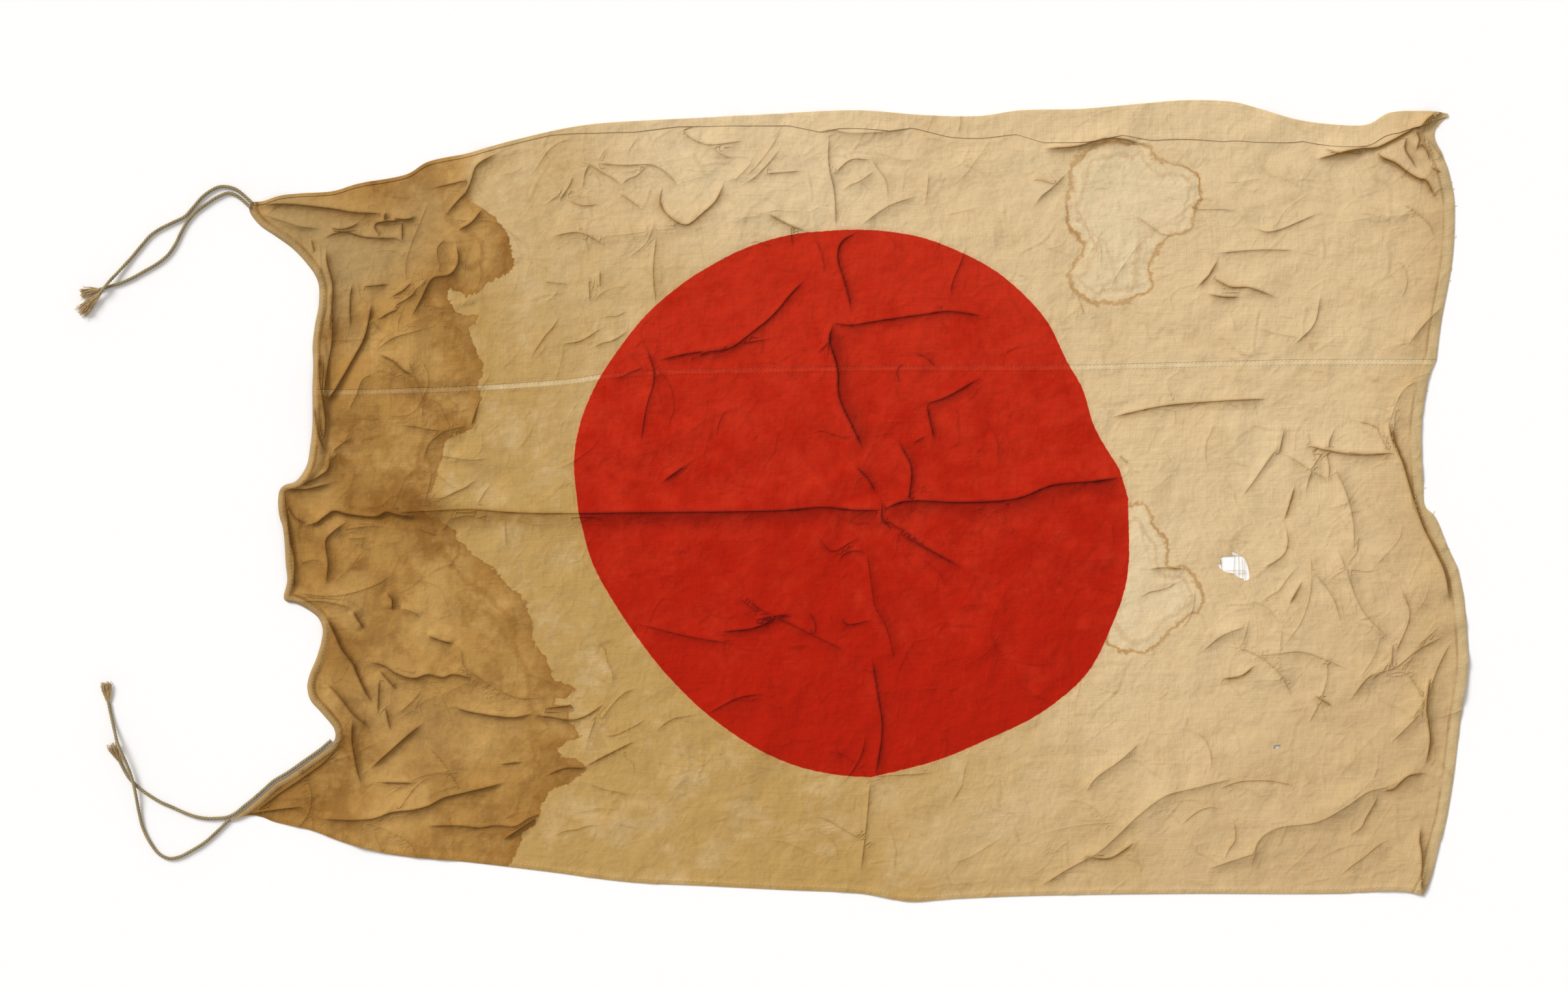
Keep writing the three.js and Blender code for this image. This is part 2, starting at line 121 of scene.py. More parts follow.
DISC_ARCS = [
    [(346, 40), (314, 94), (299, 143), (279, 178), (255, 227), (230, 257), (191, 291), (146, 316),
     (97, 335), (48, 344), (6, 346), (-31, 344), (-71, 340), (-130, 323), (-179, 298),
     (-213, 276), (-258, 237), (-297, 188), (-322, 148), (-342, 99), (-350, 50), (-344, -14)],
    [(-344, -14), (-327, -78), (-297, -133), (-260, -187), (-228, -226), (-179, -273),
     (-115, -317), (-61, -340), (-11, -350), (28, -353)],
    [(28, -353), (62, -345), (117, -330), (176, -305), (245, -271), (304, -221), (333, -167),
     (356, -98), (357, 3)],
    [(357, 3), (346, 40)],
]
LARGE_HOLE = [
    (473, -73), (481, -66), (490, -65), (500, -69), (506, -75), (509, -82), (511, -93),
    (511, -100), (505, -102), (498, -98), (491, -93), (482, -91), (473, -85), (471, -80),
]
SMALL_HOLE = [(542, -316), (543, -311), (547, -309), (551, -312), (550, -317), (545, -319)]

# The brown water stain's edge, from the top of the cloth to the bottom.
TIDE = [
    (-470, 470), (-481, 414), (-481, 383), (-461, 370), (-437, 345), (-431, 301), (-447, 280),
    (-488, 263), (-509, 270), (-505, 246), (-471, 235), (-485, 218), (-469, 187), (-469, 149),
    (-488, 142), (-471, 139), (-481, 94), (-516, 73), (-519, 42), (-536, 11), (-556, -3),
    (-521, -25), (-508, -34), (-486, -60), (-460, -79), (-432, -108), (-410, -130), (-403, -155),
    (-397, -187), (-381, -209), (-375, -228), (-346, -241), (-375, -257), (-352, -263),
    (-356, -279), (-337, -301), (-375, -317), (-333, -341), (-359, -362), (-384, -371),
    (-394, -397), (-432, -466), (-440, -520),
]
UPPER_RING = [
    (342, 457), (379, 453), (395, 436), (428, 428), (449, 411), (449, 386), (441, 366),
    (437, 345), (412, 337), (395, 324), (383, 300), (387, 271), (354, 254), (313, 254),
    (288, 267), (280, 283), (300, 324), (284, 349), (280, 374), (284, 403), (288, 432),
    (317, 453),
]
LOWER_RING = [
    (340, -14), (374, -3), (391, -32), (408, -58), (408, -83), (429, -87), (446, -104),
    (450, -130), (429, -151), (404, -172), (387, -193), (357, -193), (330, -180), (330, -60),
]

# ---------------------------------------------------------------- creases, in millimetres

# A kind of crease: its height, its reach on its gentle side and on its steep side, how sharp its
# line is, and how dark its line and the shade beside it are painted, partly as soiling and partly
# as painted shade, both from nought to one. The steep side faces away from the light, except on a
# pale one.
Kind = namedtuple("Kind", "height gentle steep sharp dirt pale")
STORAGE = Kind(3.4, 20, 9, 1.0, 0.75, False)
PLEAT = Kind(7.5, 15, 2.6, 0.9, 0.9, False)
DEEP = Kind(6.0, 13, 5, 0.9, 0.7, False)
FOLD = Kind(4.2, 14, 6.5, 0.55, 0.45, False)
SOFT = Kind(3.2, 20, 12, 0.3, 0.2, False)
CREASE = Kind(2.0, 9, 4, 1.0, 0.6, False)
FINE = Kind(1.1, 8, 4, 0.8, 0.4, False)
PALE = Kind(3.0, 14, 6, 0.5, 0.1, True)

CREASES = [
    # the level fold of storage, from the tab across the disc to the fly
    (STORAGE, [(-582, -16), (-542, -13), (-482, -11), (-422, -15), (-342, -16), (-277, -15),
               (-164, -14), (-80, -12), (-31, -8), (8, -12), (43, -12)]),
    (FOLD, [(-350, -18), (-277, -17), (-200, -19), (-150, -16)]),
    (SOFT, [(-560, -19), (-482, -15), (-400, -19), (-330, -20)]),
    (STORAGE, [(43, -12), (70, -1), (146, -2), (215, 3), (260, 20), (314, 25), (346, 30)]),
    (SOFT, [(146, -7), (191, -24), (230, -49), (279, -74), (338, -74)]),
    # the upright fold of storage, down the middle
    (FINE, [(-25, 466), (-25, 428), (-18, 393), (-16, 349)]),
    (CREASE, [(11, 343), (-9, 330), (-14, 311), (-7, 286), (1, 257), (3, 242)]),
    (STORAGE, [(-19, 227), (-24, 207), (-14, 168), (-12, 133), (3, 99), (18, 67)]),
    (CREASE, [(8, 45), (23, 30), (35, 10)]),
    (CREASE, [(43, -2), (43, -24), (58, -34)]),
    (FOLD, [(23, -64), (29, -108), (33, -133), (48, -162), (58, -202)]),
    (CREASE, [(30, -202), (38, -251), (43, -290), (35, -349)]),
    (FINE, [(28, -356), (23, -411), (16, -471)]),
    # creases of the disc
    (CREASE, [(-21, 227), (3, 224), (33, 229), (97, 238), (127, 242), (171, 236)]),
    (FINE, [(-19, 224), (-26, 202), (-41, 188)]),
    (CREASE, [(-241, 180), (-197, 189), (-153, 194), (-124, 214), (-95, 238), (-75, 262),
              (-56, 282)]),
    (FINE, [(-208, 178), (-164, 195), (-100, 207)]),
    (FINE, [(-258, 197), (-248, 158), (-258, 119), (-265, 74)]),
    (CREASE, [(99, 124), (109, 79)]),
    (CREASE, [(97, 124), (122, 131), (166, 156)]),
    (CREASE, [(62, 79), (71, 63), (80, 43), (76, -5)]),
    (FINE, [(-138, -117), (-114, -137), (-75, -156), (-7, -190)]),
    (FINE, [(32, -20), (56, -30), (95, -54), (120, -74)]),
    (FINE, [(82, 74), (97, 82)]),
    (CREASE, [(-236, 25), (-208, 45)]),
    (CREASE, [(62, -39), (97, -59), (141, -83)]),
    (CREASE, [(-120, -152), (-95, -147), (-75, -145)]),
    (CREASE, [(-164, -167), (-120, -162), (-85, -145)]),
    (FINE, [(-268, -157), (-208, -172), (-149, -182)]),
    (FINE, [(-179, -271), (-140, -251), (-110, -246)]),
    (FINE, [(8, -49), (-21, -64), (-41, -44)]),
    (FINE, [(28, -152), (-2, -157), (-11, -147)]),
    (FINE, [(-140, -123), (-115, -143)]),
    # the fan of folds in the upper hoist corner
    (DEEP, [(-746, 378), (-709, 378), (-679, 375), (-654, 372), (-633, 368), (-592, 366)]),
    (FOLD, [(-749, 366), (-719, 356), (-700, 350), (-673, 347)]),
    (CREASE, [(-685, 334), (-681, 317)]),
    (CREASE, [(-660, 349), (-649, 346), (-635, 349), (-624, 355)]),
    (CREASE, [(-670, 334), (-658, 340), (-641, 343), (-620, 337), (-598, 335), (-571, 335)]),
    (CREASE, [(-569, 356), (-569, 332)]),
    (CREASE, [(-620, 273), (-587, 276)]),
    (DEEP, [(-590, 368), (-592, 352)]),
    (DEEP, [(-583, 360), (-561, 359), (-552, 363)]),
    # the gathered hoist edge above the tab
    (DEEP, [(-666, 322), (-664, 303), (-658, 280), (-657, 258), (-660, 228), (-658, 207)]),
    (PALE, [(-675, 332), (-673, 312), (-672, 288)]),
    (CREASE, [(-633, 276), (-635, 258), (-635, 221)]),
    (CREASE, [(-583, 260), (-568, 268), (-556, 279)]),
    (CREASE, [(-580, 248), (-563, 257), (-550, 267)]),
    (CREASE, [(-599, 231), (-584, 240), (-571, 245)]),
    (DEEP, [(-659, 274), (-658, 240), (-658, 206), (-663, 172), (-668, 129)]),
    (PLEAT, [(-608, 251), (-611, 229), (-617, 207), (-632, 179), (-651, 146), (-666, 123)]),
    (FOLD, [(-608, 231), (-598, 218)]),
    (DEEP, [(-556, 236), (-545, 256), (-536, 275), (-529, 284), (-507, 289), (-497, 305),
            (-500, 328)]),
    (DEEP, [(-497, 345), (-480, 355), (-467, 371)]),
    (DEEP, [(-513, 365), (-498, 382), (-487, 394), (-481, 407), (-474, 427), (-448, 443)]),
    (CREASE, [(-530, 399), (-510, 403), (-484, 409)]),
    (CREASE, [(-596, 336), (-604, 352), (-566, 358)]),
    (FOLD, [(-561, 262), (-548, 272), (-531, 287)]),
    (FOLD, [(-521, 300), (-524, 322), (-513, 334)]),
    (DEEP, [(-599, 187), (-580, 178), (-566, 166), (-553, 160)]),
    (SOFT, [(-610, 196), (-585, 212), (-555, 228), (-525, 240)]),
    (SOFT, [(-655, 300), (-640, 262), (-636, 226), (-645, 190)]),
    (FOLD, [(-605, 162), (-619, 155), (-627, 135), (-639, 111)]),
    (FOLD, [(-658, 63), (-649, 70), (-637, 79)]),
    (FOLD, [(-661, 51), (-651, 60)]),
    (FOLD, [(-602, 192), (-581, 207), (-559, 214), (-541, 219)]),
    (FOLD, [(-483, 96), (-513, 89), (-534, 74), (-541, 57)]),
    (CREASE, [(-471, 126), (-481, 96)]),
    (DEEP, [(-674, 189), (-673, 155), (-669, 129), (-666, 104), (-668, 74)]),
    (DEEP, [(-681, 124), (-678, 104), (-673, 79), (-666, 62)]),
    (DEEP, [(-661, 62), (-663, 41), (-680, 28), (-700, 18)]),
    # folds round the square tab
    (DEEP, [(-717, -4), (-706, -20), (-693, -28)]),
    (PLEAT, [(-692, -31), (-678, -28), (-667, -20), (-656, -13), (-637, -17), (-602, -20),
             (-589, -14), (-577, -17), (-561, -20), (-550, -20)]),
    (DEEP, [(-666, -104), (-663, -80), (-666, -50), (-656, -39), (-637, -25)]),
    (DEEP, [(-719, 9), (-715, -18), (-711, -53), (-706, -73), (-707, -113)]),
    (FOLD, [(-701, -80), (-681, -75), (-673, -77)]),
    (FOLD, [(-703, -117), (-671, -121), (-645, -120), (-618, -113), (-595, -103), (-585, -95)]),
    (FOLD, [(-700, -128), (-671, -128), (-641, -134), (-632, -139)]),
    (DEEP, [(-632, -139), (-625, -152), (-618, -163)]),
    (DEEP, [(-589, -116), (-582, -126), (-582, -139)]),
    (DEEP, [(-719, 16), (-692, 15), (-662, 22)]),
    (FOLD, [(-645, -37), (-609, -32), (-594, -33)]),
    (FOLD, [(-638, -47), (-626, -48), (-615, -47)]),
    # the deep folds that run down to the lower hoist corner
    (PLEAT, [(-666, -148), (-657, -164), (-645, -190), (-632, -207), (-625, -224), (-615, -244),
             (-608, -256)]),
    (DEEP, [(-666, -231), (-649, -249), (-632, -271), (-611, -288)]),
    (DEEP, [(-632, -277), (-633, -304), (-628, -336), (-622, -360)]),
    (DEEP, [(-608, -340), (-582, -317), (-563, -300), (-543, -284)]),
    (DEEP, [(-598, -215), (-587, -228), (-576, -240)]),
    (DEEP, [(-612, -205), (-592, -210), (-576, -220), (-553, -226), (-536, -221), (-517, -225),
            (-504, -221), (-477, -227)]),
    (DEEP, [(-537, -171), (-523, -177), (-503, -182)]),
    (FOLD, [(-503, -182), (-494, -192), (-490, -211), (-477, -221), (-451, -238), (-421, -251),
            (-392, -251)]),
    (DEEP, [(-504, -261), (-490, -267), (-471, -271), (-451, -274), (-425, -276), (-402, -271)]),
    (CREASE, [(-763, -399), (-730, -394), (-697, -390)]),
    (CREASE, [(-654, -318), (-668, -333), (-687, -347), (-707, -361), (-725, -373), (-743, -387),
              (-758, -397)]),
    (DEEP, [(-671, -405), (-635, -407), (-605, -405), (-582, -397), (-556, -394), (-536, -389),
            (-517, -379), (-494, -373), (-464, -366), (-441, -360)]),
    (CREASE, [(-536, -415), (-513, -414), (-487, -415), (-471, -417), (-451, -414), (-425, -415),
              (-408, -405), (-392, -399)]),
    (DEEP, [(-440, -432), (-425, -422), (-395, -402)]),
    (CREASE, [(-599, -359), (-553, -360)]),
    (CREASE, [(-443, -336), (-418, -333)]),
    (CREASE, [(-385, -350), (-362, -341), (-333, -341)]),
    (CREASE, [(-333, -337), (-306, -323), (-274, -307)]),
    (FOLD, [(-571, -137), (-554, -142), (-547, -149)]),
    (FOLD, [(-544, -241), (-554, -254), (-572, -270)]),
    (CREASE, [(-598, -227), (-600, -270)]),
    (CREASE, [(-591, -261), (-584, -292)]),
    (FOLD, [(-540, -310), (-523, -326), (-504, -353), (-494, -372)]),
    (CREASE, [(-401, -273), (-377, -276), (-360, -279), (-345, -278), (-329, -271), (-312, -259)]),
    (CREASE, [(-390, -265), (-372, -263), (-353, -262), (-353, -270)]),
    # the soft folds of the upper cloth
    (CREASE, [(-238, 400), (-240, 380), (-228, 362), (-207, 352), (-187, 366), (-169, 383),
              (-159, 404)]),
    (FINE, [(-324, 431), (-286, 428), (-249, 428), (-228, 414), (-218, 400)]),
    (FINE, [(-293, 393), (-266, 374)]),
    (CREASE, [(-104, 367), (-76, 352), (-56, 345)]),
    (FOLD, [(85, 388), (51, 376), (17, 352)]),
    (FINE, [(-190, 479), (-211, 472), (-183, 455), (-135, 459)]),
    (FINE, [(-107, 417), (-59, 421)]),
    (FINE, [(-18, 417), (3, 435), (27, 435)]),
    (FINE, [(-376, 338), (-342, 342), (-307, 324)]),
    (FINE, [(-369, 383), (-355, 404), (-352, 414)]),
    (SOFT, [(-376, 342), (-307, 338), (-245, 345), (-211, 349)]),
    (FINE, [(-245, 338), (-249, 290), (-245, 249)]),
    (FINE, [(-317, 293), (-317, 273)]),
    (FINE, [(-331, 283), (-330, 256)]),
    (FINE, [(-366, 200), (-342, 204), (-314, 221)]),
    (CREASE, [(470, 306), (459, 287), (445, 273)]),
    (CREASE, [(461, 287), (486, 273), (511, 272), (544, 260)]),
    (CREASE, [(457, 264), (478, 260), (499, 260)]),
    (FINE, [(470, 316), (519, 320), (569, 320)]),
    (SOFT, [(629, 355), (660, 360), (701, 364), (734, 368)]),
    (FOLD, [(755, 246), (734, 225), (714, 200)]),
    (FINE, [(569, 200), (594, 225), (602, 262)]),
    (CREASE, [(337, 107), (395, 120), (428, 124), (486, 128), (532, 130)]),
    (PALE, [(730, 155), (709, 143), (697, 122), (689, 97)]),
    (FINE, [(556, 93), (548, 57)]),
    (CREASE, [(693, 93), (697, 72), (705, 57)]),
    (FINE, [(581, 70), (618, 64), (693, 60)]),
    (FINE, [(515, 349), (536, 343), (598, 366)]),
    # the dark edge of the turned margin, and the twisted upper fly corner
    (PLEAT, [(609, 449), (622, 443), (637, 446), (655, 449), (672, 450), (690, 458), (712, 470),
             (728, 478)]),
    (DEEP, [(598, 436), (615, 440), (630, 443), (660, 443)]),
    (DEEP, [(250, 449), (290, 452), (330, 462), (352, 461), (372, 456)]),
    (FOLD, [(-40, 470), (-24, 473), (0, 469), (40, 470), (75, 475)]),
    (DEEP, [(727, 479), (738, 480), (745, 488), (757, 497)]),
    (DEEP, [(722, 474), (727, 462), (724, 448)]),
    (FOLD, [(733, 468), (742, 456), (750, 446), (757, 436)]),
    (PLEAT, [(672, 447), (680, 438), (696, 431), (715, 417), (729, 410), (735, 409), (744, 395),
             (749, 386)]),
    (CREASE, [(712, 466), (709, 449), (717, 435), (723, 425)]),
    (CREASE, [(726, 457), (735, 449), (741, 435)]),
    (DEEP, [(715, 477), (726, 475), (738, 487), (749, 495)]),
    (CREASE, [(741, 426), (755, 419)]),
    # the fly and the long slanting folds below
    (FOLD, [(552, 99), (550, 74), (535, 52), (518, 27), (501, 4)]),
    (CREASE, [(582, 72), (607, 65), (650, 59), (696, 61)]),
    (FOLD, [(616, 48), (633, 14), (643, -24), (645, -62)]),
    (FOLD, [(624, -62), (637, -96), (654, -138), (688, -176)]),
    (SOFT, [(552, -159), (550, -198), (553, -236)]),
    (DEEP, [(741, -223), (736, -265), (739, -282), (741, -308), (736, -335)]),
    (FOLD, [(741, -257), (713, -287), (692, -308)]),
    (FOLD, [(730, -342), (692, -363), (662, -371), (637, -388), (599, -409), (544, -418),
            (522, -435), (514, -469)]),
    (FOLD, [(489, -354), (438, -367), (404, -376), (370, -401), (344, -426), (319, -448),
            (281, -469), (247, -490)]),
    (FOLD, [(370, -310), (344, -333), (315, -354), (302, -373)]),
    (SOFT, [(247, -424), (294, -414), (344, -409)]),
    (SOFT, [(641, -248), (666, -227), (705, -221), (739, -219)]),
    (CREASE, [(594, -248), (616, -261)]),
    (FOLD, [(450, -193), (476, -172), (510, -159)]),
    (CREASE, [(578, -104), (563, -130)]),
    (FOLD, [(586, -83), (616, -121), (628, -155)]),
    (CREASE, [(298, -452), (332, -456), (366, -435)]),
    (CREASE, [(476, -227), (501, -223), (518, -210)]),
    (CREASE, [(569, 19), (563, -3), (556, -24)]),
    (FINE, [(344, 59), (357, 48)]),
    (FOLD, [(556, 61), (582, 44), (611, 27)]),
    (FINE, [(694, -181), (692, -214)]),
    (FINE, [(383, -87), (400, -85), (429, -87)]),
    (SOFT, [(611, -401), (671, -350), (675, -316)]),
    (FOLD, [(459, -469), (522, -448)]),
    (PLEAT, [(688, 99), (694, 74), (705, 52), (715, 19), (726, -15), (734, -36), (747, -62),
             (760, -92), (766, -125)]),
    (DEEP, [(729, -416), (728, -434), (730, -446), (731, -463), (730, -481), (731, -502)]),
    (CREASE, [(737, -347), (725, -348), (714, -350), (702, -360), (695, -367), (679, -369)]),
]
TOWARDS_LIGHT = (-0.7, 0.72)  # in plan

# Where other creases are scattered: low corner, high corner, how many, their usual heading and
# its spread in degrees, their usual length, how high they are, and how soft.
CRUMPLED = [
    ((360, -490), (760, -150), 38, 35, 14, 100, 0.9, 1.1),
    ((360, -150), (740, 170), 30, 55, 50, 55, 0.8, 1.1),
    ((280, 190), (760, 450), 30, 15, 60, 60, 0.6, 1.2),
    ((-400, 350), (280, 470), 36, 10, 60, 50, 0.6, 1.1),
    ((-450, 180), (-270, 440), 22, 40, 80, 50, 0.6, 1.1),
    ((-480, -200), (-340, 140), 14, 5, 60, 50, 0.6, 1.2),
    ((-400, -450), (-100, -260), 24, 25, 25, 70, 0.7, 1.2),
    ((-100, -490), (360, -350), 22, 15, 30, 60, 0.6, 1.2),
    ((-330, -330), (340, 330), 56, 20, 80, 60, 0.6, 1.1),
    ((-660, 160), (-460, 410), 48, -35, 50, 75, 0.8, 1.4),
    ((-670, -130), (-470, 140), 36, -12, 35, 52, 1.2, 1.1),
    ((-690, -430), (-420, -140), 46, -40, 40, 85, 0.7, 1.4),
    ((-740, -430), (-560, -300), 14, 28, 12, 80, 1.1, 1.2),
    ((300, -480), (740, -120), 18, 35, 12, 160, 2.3, 2.4),
    ((300, -120), (700, 170), 11, 60, 40, 100, 1.8, 2.2),
    ((-400, 340), (740, 460), 20, 20, 60, 110, 1.5, 2.3),
    ((-300, -300), (300, 300), 22, 30, 70, 130, 1.6, 2.4),
    ((-450, -440), (-50, -220), 12, 25, 25, 130, 1.8, 2.4),
    ((-680, -420), (-430, 380), 28, -25, 50, 90, 3.0, 1.9),
]

# Where old damp has left the cloth darker, and where the deep folds along the hoist are darkened as
# painted shade: (x, y, reach, depth).
DAMP_AND_SHADE = [
    (-442, 312, 30, 0.9), (-488, 272, 30, 0.8), (-470, 350, 26, 0.5), (-482, 225, 28, 0.9),
    (-500, 180, 40, 0.5), (-492, 90, 26, 0.5), (-652, 39, 34, 1.0), (-612, 79, 40, 0.6),
    (-582, -14, 26, 1.0), (-625, -5, 30, 0.9), (-540, 30, 36, 0.6), (-535, -50, 34, 0.6),
    (-482, -72, 30, 0.7), (-425, -150, 30, 0.8), (-398, -238, 34, 0.9), (-372, -330, 30, 0.7),
    (-395, -375, 30, 0.8), (-440, -452, 36, 0.9), (-500, -420, 40, 0.3), (-655, -100, 30, 0.7),
    (-650, -200, 22, 0.6), (-600, -340, 40, 0.3), (-700, -385, 50, 0.5), (-664, 160, 24, 0.9),
    (-640, 215, 24, 0.4), (-560, 120, 50, 0.4), (-555, 410, 30, 0.6), (-610, 395, 24, 0.5),
    (-700, -60, 26, 0.8), (-690, -370, 50, 0.6), (-640, -300, 24, 0.8), (-625, -230, 20, 0.6),
    (-640, -190, 26, 1.0), (-612, -300, 24, 1.0), (-600, -330, 22, 0.6), (-657, 220, 14, 1.0),
    (-660, 280, 14, 0.9), (-640, -150, 22, 0.5), (-654, -306, 12, 0.9), (-700, -352, 14, 0.7),
    (-735, -378, 14, 0.7),
]
# Where the fold of storage is darkened by soiling past the stain, and painted shade in the deepest
# folds of the lower hoist.
SOIL_AND_SHADE = [
    (-651, -172, 9, 0.4), (-642, -194, 9, 0.4), (-634, -286, 15, 0.3), (-628, -308, 14, 0.3),
    (-652, -303, 8, 0.6), (-690, -346, 8, 0.4), (-716, -364, 8, 0.4),
    (-552, -6, 18, 1.0), (-534, -14, 18, 1.0), (-512, -21, 15, 0.8), (-488, -22, 12, 0.7),
    (-464, -21, 10, 0.6), (-440, -20, 9, 0.45), (-412, -19, 9, 0.3), (-384, -19, 9, 0.3),
]
# Where the gathered hoist has greyed.
GREYED = [
    (-720, 365, 40, 0.9), (-660, 330, 50, 0.9), (-610, 300, 44, 0.7), (-560, 330, 40, 0.5),
    (-540, 380, 40, 0.4), (-676, 240, 18, 0.6), (-600, -250, 50, 0.3),
    (-520, -300, 50, 0.3), (-680, 20, 20, 0.4), (-690, 110, 16, 0.8), (-690, 60, 16, 0.8),
    (-655, 290, 24, 0.5), (-655, 250, 26, 0.5), (-632, 210, 22, 0.4), (-668, 190, 14, 0.5),
]
# Where the cotton is least aged.
BLEACHED = [
    (-60, 430, 110, 0.8), (480, 485, 150, 0.5), (250, 420, 60, 0.5), (-220, 445, 80, 0.6),
    (540, 60, 60, 0.4), (420, -40, 50, 0.4), (150, -440, 70, 0.3),
]

# ---------------------------------------------------------------- ties, in metres

# Each tie's route, from the cloth to its frayed end, and then the frayed end's tip and width.
REST = 0.00235
TIES = {
    "upper_a": ([
        (-0.7628, 0.3821, REST), (-0.779, 0.396, REST), (-0.789, 0.400, REST),
        (-0.801, 0.4005, REST), (-0.812, 0.396, REST), (-0.824, 0.387, REST),
        (-0.835, 0.3745, REST), (-0.846, 0.3625, REST), (-0.863, 0.354, REST),
        (-0.877, 0.347, REST), (-0.889, 0.339, REST), (-0.899, 0.328, REST),
        (-0.914, 0.310, 0.0026), (-0.931, 0.291, 0.0044), (-0.941, 0.280, 0.0066),
        (-0.948, 0.271, 0.0075), (-0.9545, 0.2625, 0.0058),
    ], (-0.980, 0.238), 0.014),
    "upper_b": ([
        (-0.7652, 0.3768, REST), (-0.779, 0.3885, REST), (-0.790, 0.3925, REST),
        (-0.804, 0.3875, REST), (-0.8175, 0.379, REST), (-0.831, 0.369, REST),
        (-0.842, 0.357, REST), (-0.850, 0.3435, REST), (-0.8575, 0.328, REST),
        (-0.867, 0.314, REST), (-0.880, 0.303, REST), (-0.897, 0.293, REST),
        (-0.914, 0.2835, REST), (-0.929, 0.277, REST), (-0.941, 0.2735, REST),
        (-0.956, 0.269, REST),
    ], (-0.979, 0.264), 0.012),
    "lower_a": ([
        (-0.6625, -0.308, REST), (-0.673, -0.317, REST), (-0.695, -0.3325, REST),
        (-0.714, -0.346, REST), (-0.733, -0.3575, REST), (-0.751, -0.3735, REST),
        (-0.768, -0.3875, REST), (-0.788, -0.402, REST), (-0.808, -0.405, REST),
        (-0.826, -0.404, REST), (-0.843, -0.399, REST), (-0.861, -0.391, REST),
        (-0.877, -0.384, REST), (-0.892, -0.375, REST), (-0.905, -0.3655, REST),
        (-0.915, -0.356, REST), (-0.923, -0.344, REST), (-0.929, -0.3315, REST),
    ], (-0.938, -0.309), 0.014),
    "lower_b": ([
        (-0.7919, -0.4089, REST), (-0.805, -0.422, REST), (-0.821, -0.436, REST),
        (-0.838, -0.4465, REST), (-0.853, -0.454, REST), (-0.866, -0.456, REST),
        (-0.879, -0.450, REST), (-0.890, -0.436, REST), (-0.899, -0.418, 0.0026),
        (-0.904, -0.398, 0.0036), (-0.9075, -0.376, 0.0064), (-0.9105, -0.361, 0.0076),
        (-0.915, -0.346, 0.0078), (-0.920, -0.333, 0.0088), (-0.926, -0.320, 0.0102),
        (-0.931, -0.307, 0.0094), (-0.9355, -0.291, 0.0054), (-0.9395, -0.275, 0.0028),
        (-0.9435, -0.256, REST),
    ], (-0.947, -0.231), 0.013),
}


# ---------------------------------------------------------------- settings


class FlagClothSettings(bpy.types.PropertyGroup):
    thickness: FloatProperty(
        name="Cloth", description="Thickness of one layer of cloth", default=0.0009,
        min=0.0003, max=0.003, unit="LENGTH")
    hem: FloatProperty(
        name="Hem", description="Thickness where the edge is turned under and sewn",
        default=0.0021, min=0.0005, max=0.005, unit="LENGTH")
    hem_width: FloatProperty(
        name="Hem width", description="Width of the hoist and fly hems", default=0.012,
        min=0.004, max=0.03, unit="LENGTH")
    cell: FloatProperty(
        name="Cell", description="Size of the mesh's cells where the cloth lies smooth",
        default=0.009, min=0.004, max=0.03, unit="LENGTH")
    cotton: FloatVectorProperty(
        name="Cotton", description="The cotton's colour near the hoist, where it has aged most",
        subtype="COLOR", size=4, min=0, max=1, default=linear("#B99559"))
    cotton_pale: FloatVectorProperty(
        name="Pale cotton", description="The cotton's colour near the fly",
        subtype="COLOR", size=4, min=0, max=1, default=linear("#D6BA8E"))
    dye: FloatVectorProperty(
        name="Disc dye", description="The disc's red dye", subtype="COLOR", size=4,
        min=0, max=1, default=linear("#AE1B05"))
    damp: FloatVectorProperty(
        name="Water stain", description="The brown of the water stain", subtype="COLOR",
        size=4, min=0, max=1, default=linear("#AF8243"))
    # The colour painted into creases inside the water stain: partly soiling, partly painted shade.
    grime_and_shade: FloatVectorProperty(
        name="Grime", description="The dirt held in creases and along the stain's edge",
        subtype="COLOR", size=4, min=0, max=1, default=linear("#7A5222"))
    thread_gap: FloatProperty(
        name="Thread spacing", description="From one warp thread to the next, as drawn",
        default=0.0012, min=0.0003, max=0.004, unit="LENGTH")


class FlagCordSettings(bpy.types.PropertyGroup):
    diameter: FloatProperty(
        name="Cord", description="Diameter of a tie", default=0.0045, min=0.002, max=0.02,
        unit="LENGTH")
    lay: FloatProperty(
        name="Lay", description="Length of cord in which a strand goes once round",
        default=0.0125, min=0.004, max=0.06, unit="LENGTH")
    strands: IntProperty(
        name="Strands", description="Number of strands twisted together", default=3, min=2,
        max=4)
    yarns: IntProperty(
        name="Frayed yarns", description="Number of loose yarns at a frayed end", default=64,
        min=8, max=200)
    fibre: FloatVectorProperty(
        name="Cord cotton", description="The weathered cord's colour", subtype="COLOR", size=4,
        min=0, max=1, default=linear("#9D8C69"))
    frayed: FloatVectorProperty(
        name="Frayed cotton", description="The frayed ends' colour", subtype="COLOR", size=4,
        min=0, max=1, default=linear("#BFA375"))


class FlagStageSettings(bpy.types.PropertyGroup):
    view_width: FloatProperty(
        name="View width", description="Width of floor that the camera sees", default=2.0,
        min=0.5, max=6, unit="LENGTH")
    floor: FloatVectorProperty(
        name="Floor", description="The floor's colour", subtype="COLOR", size=4, min=0, max=1,
        default=linear("#FBFAFA"))
    sun: FloatProperty(
        name="Key light", description="Strength of the soft light from the upper hoist side",
        default=2.8, min=0, max=20)
    sky: FloatProperty(
        name="Fill light", description="Strength of the even light from all round",
        default=0.54, min=0, max=5)


# ---------------------------------------------------------------- lines in plan


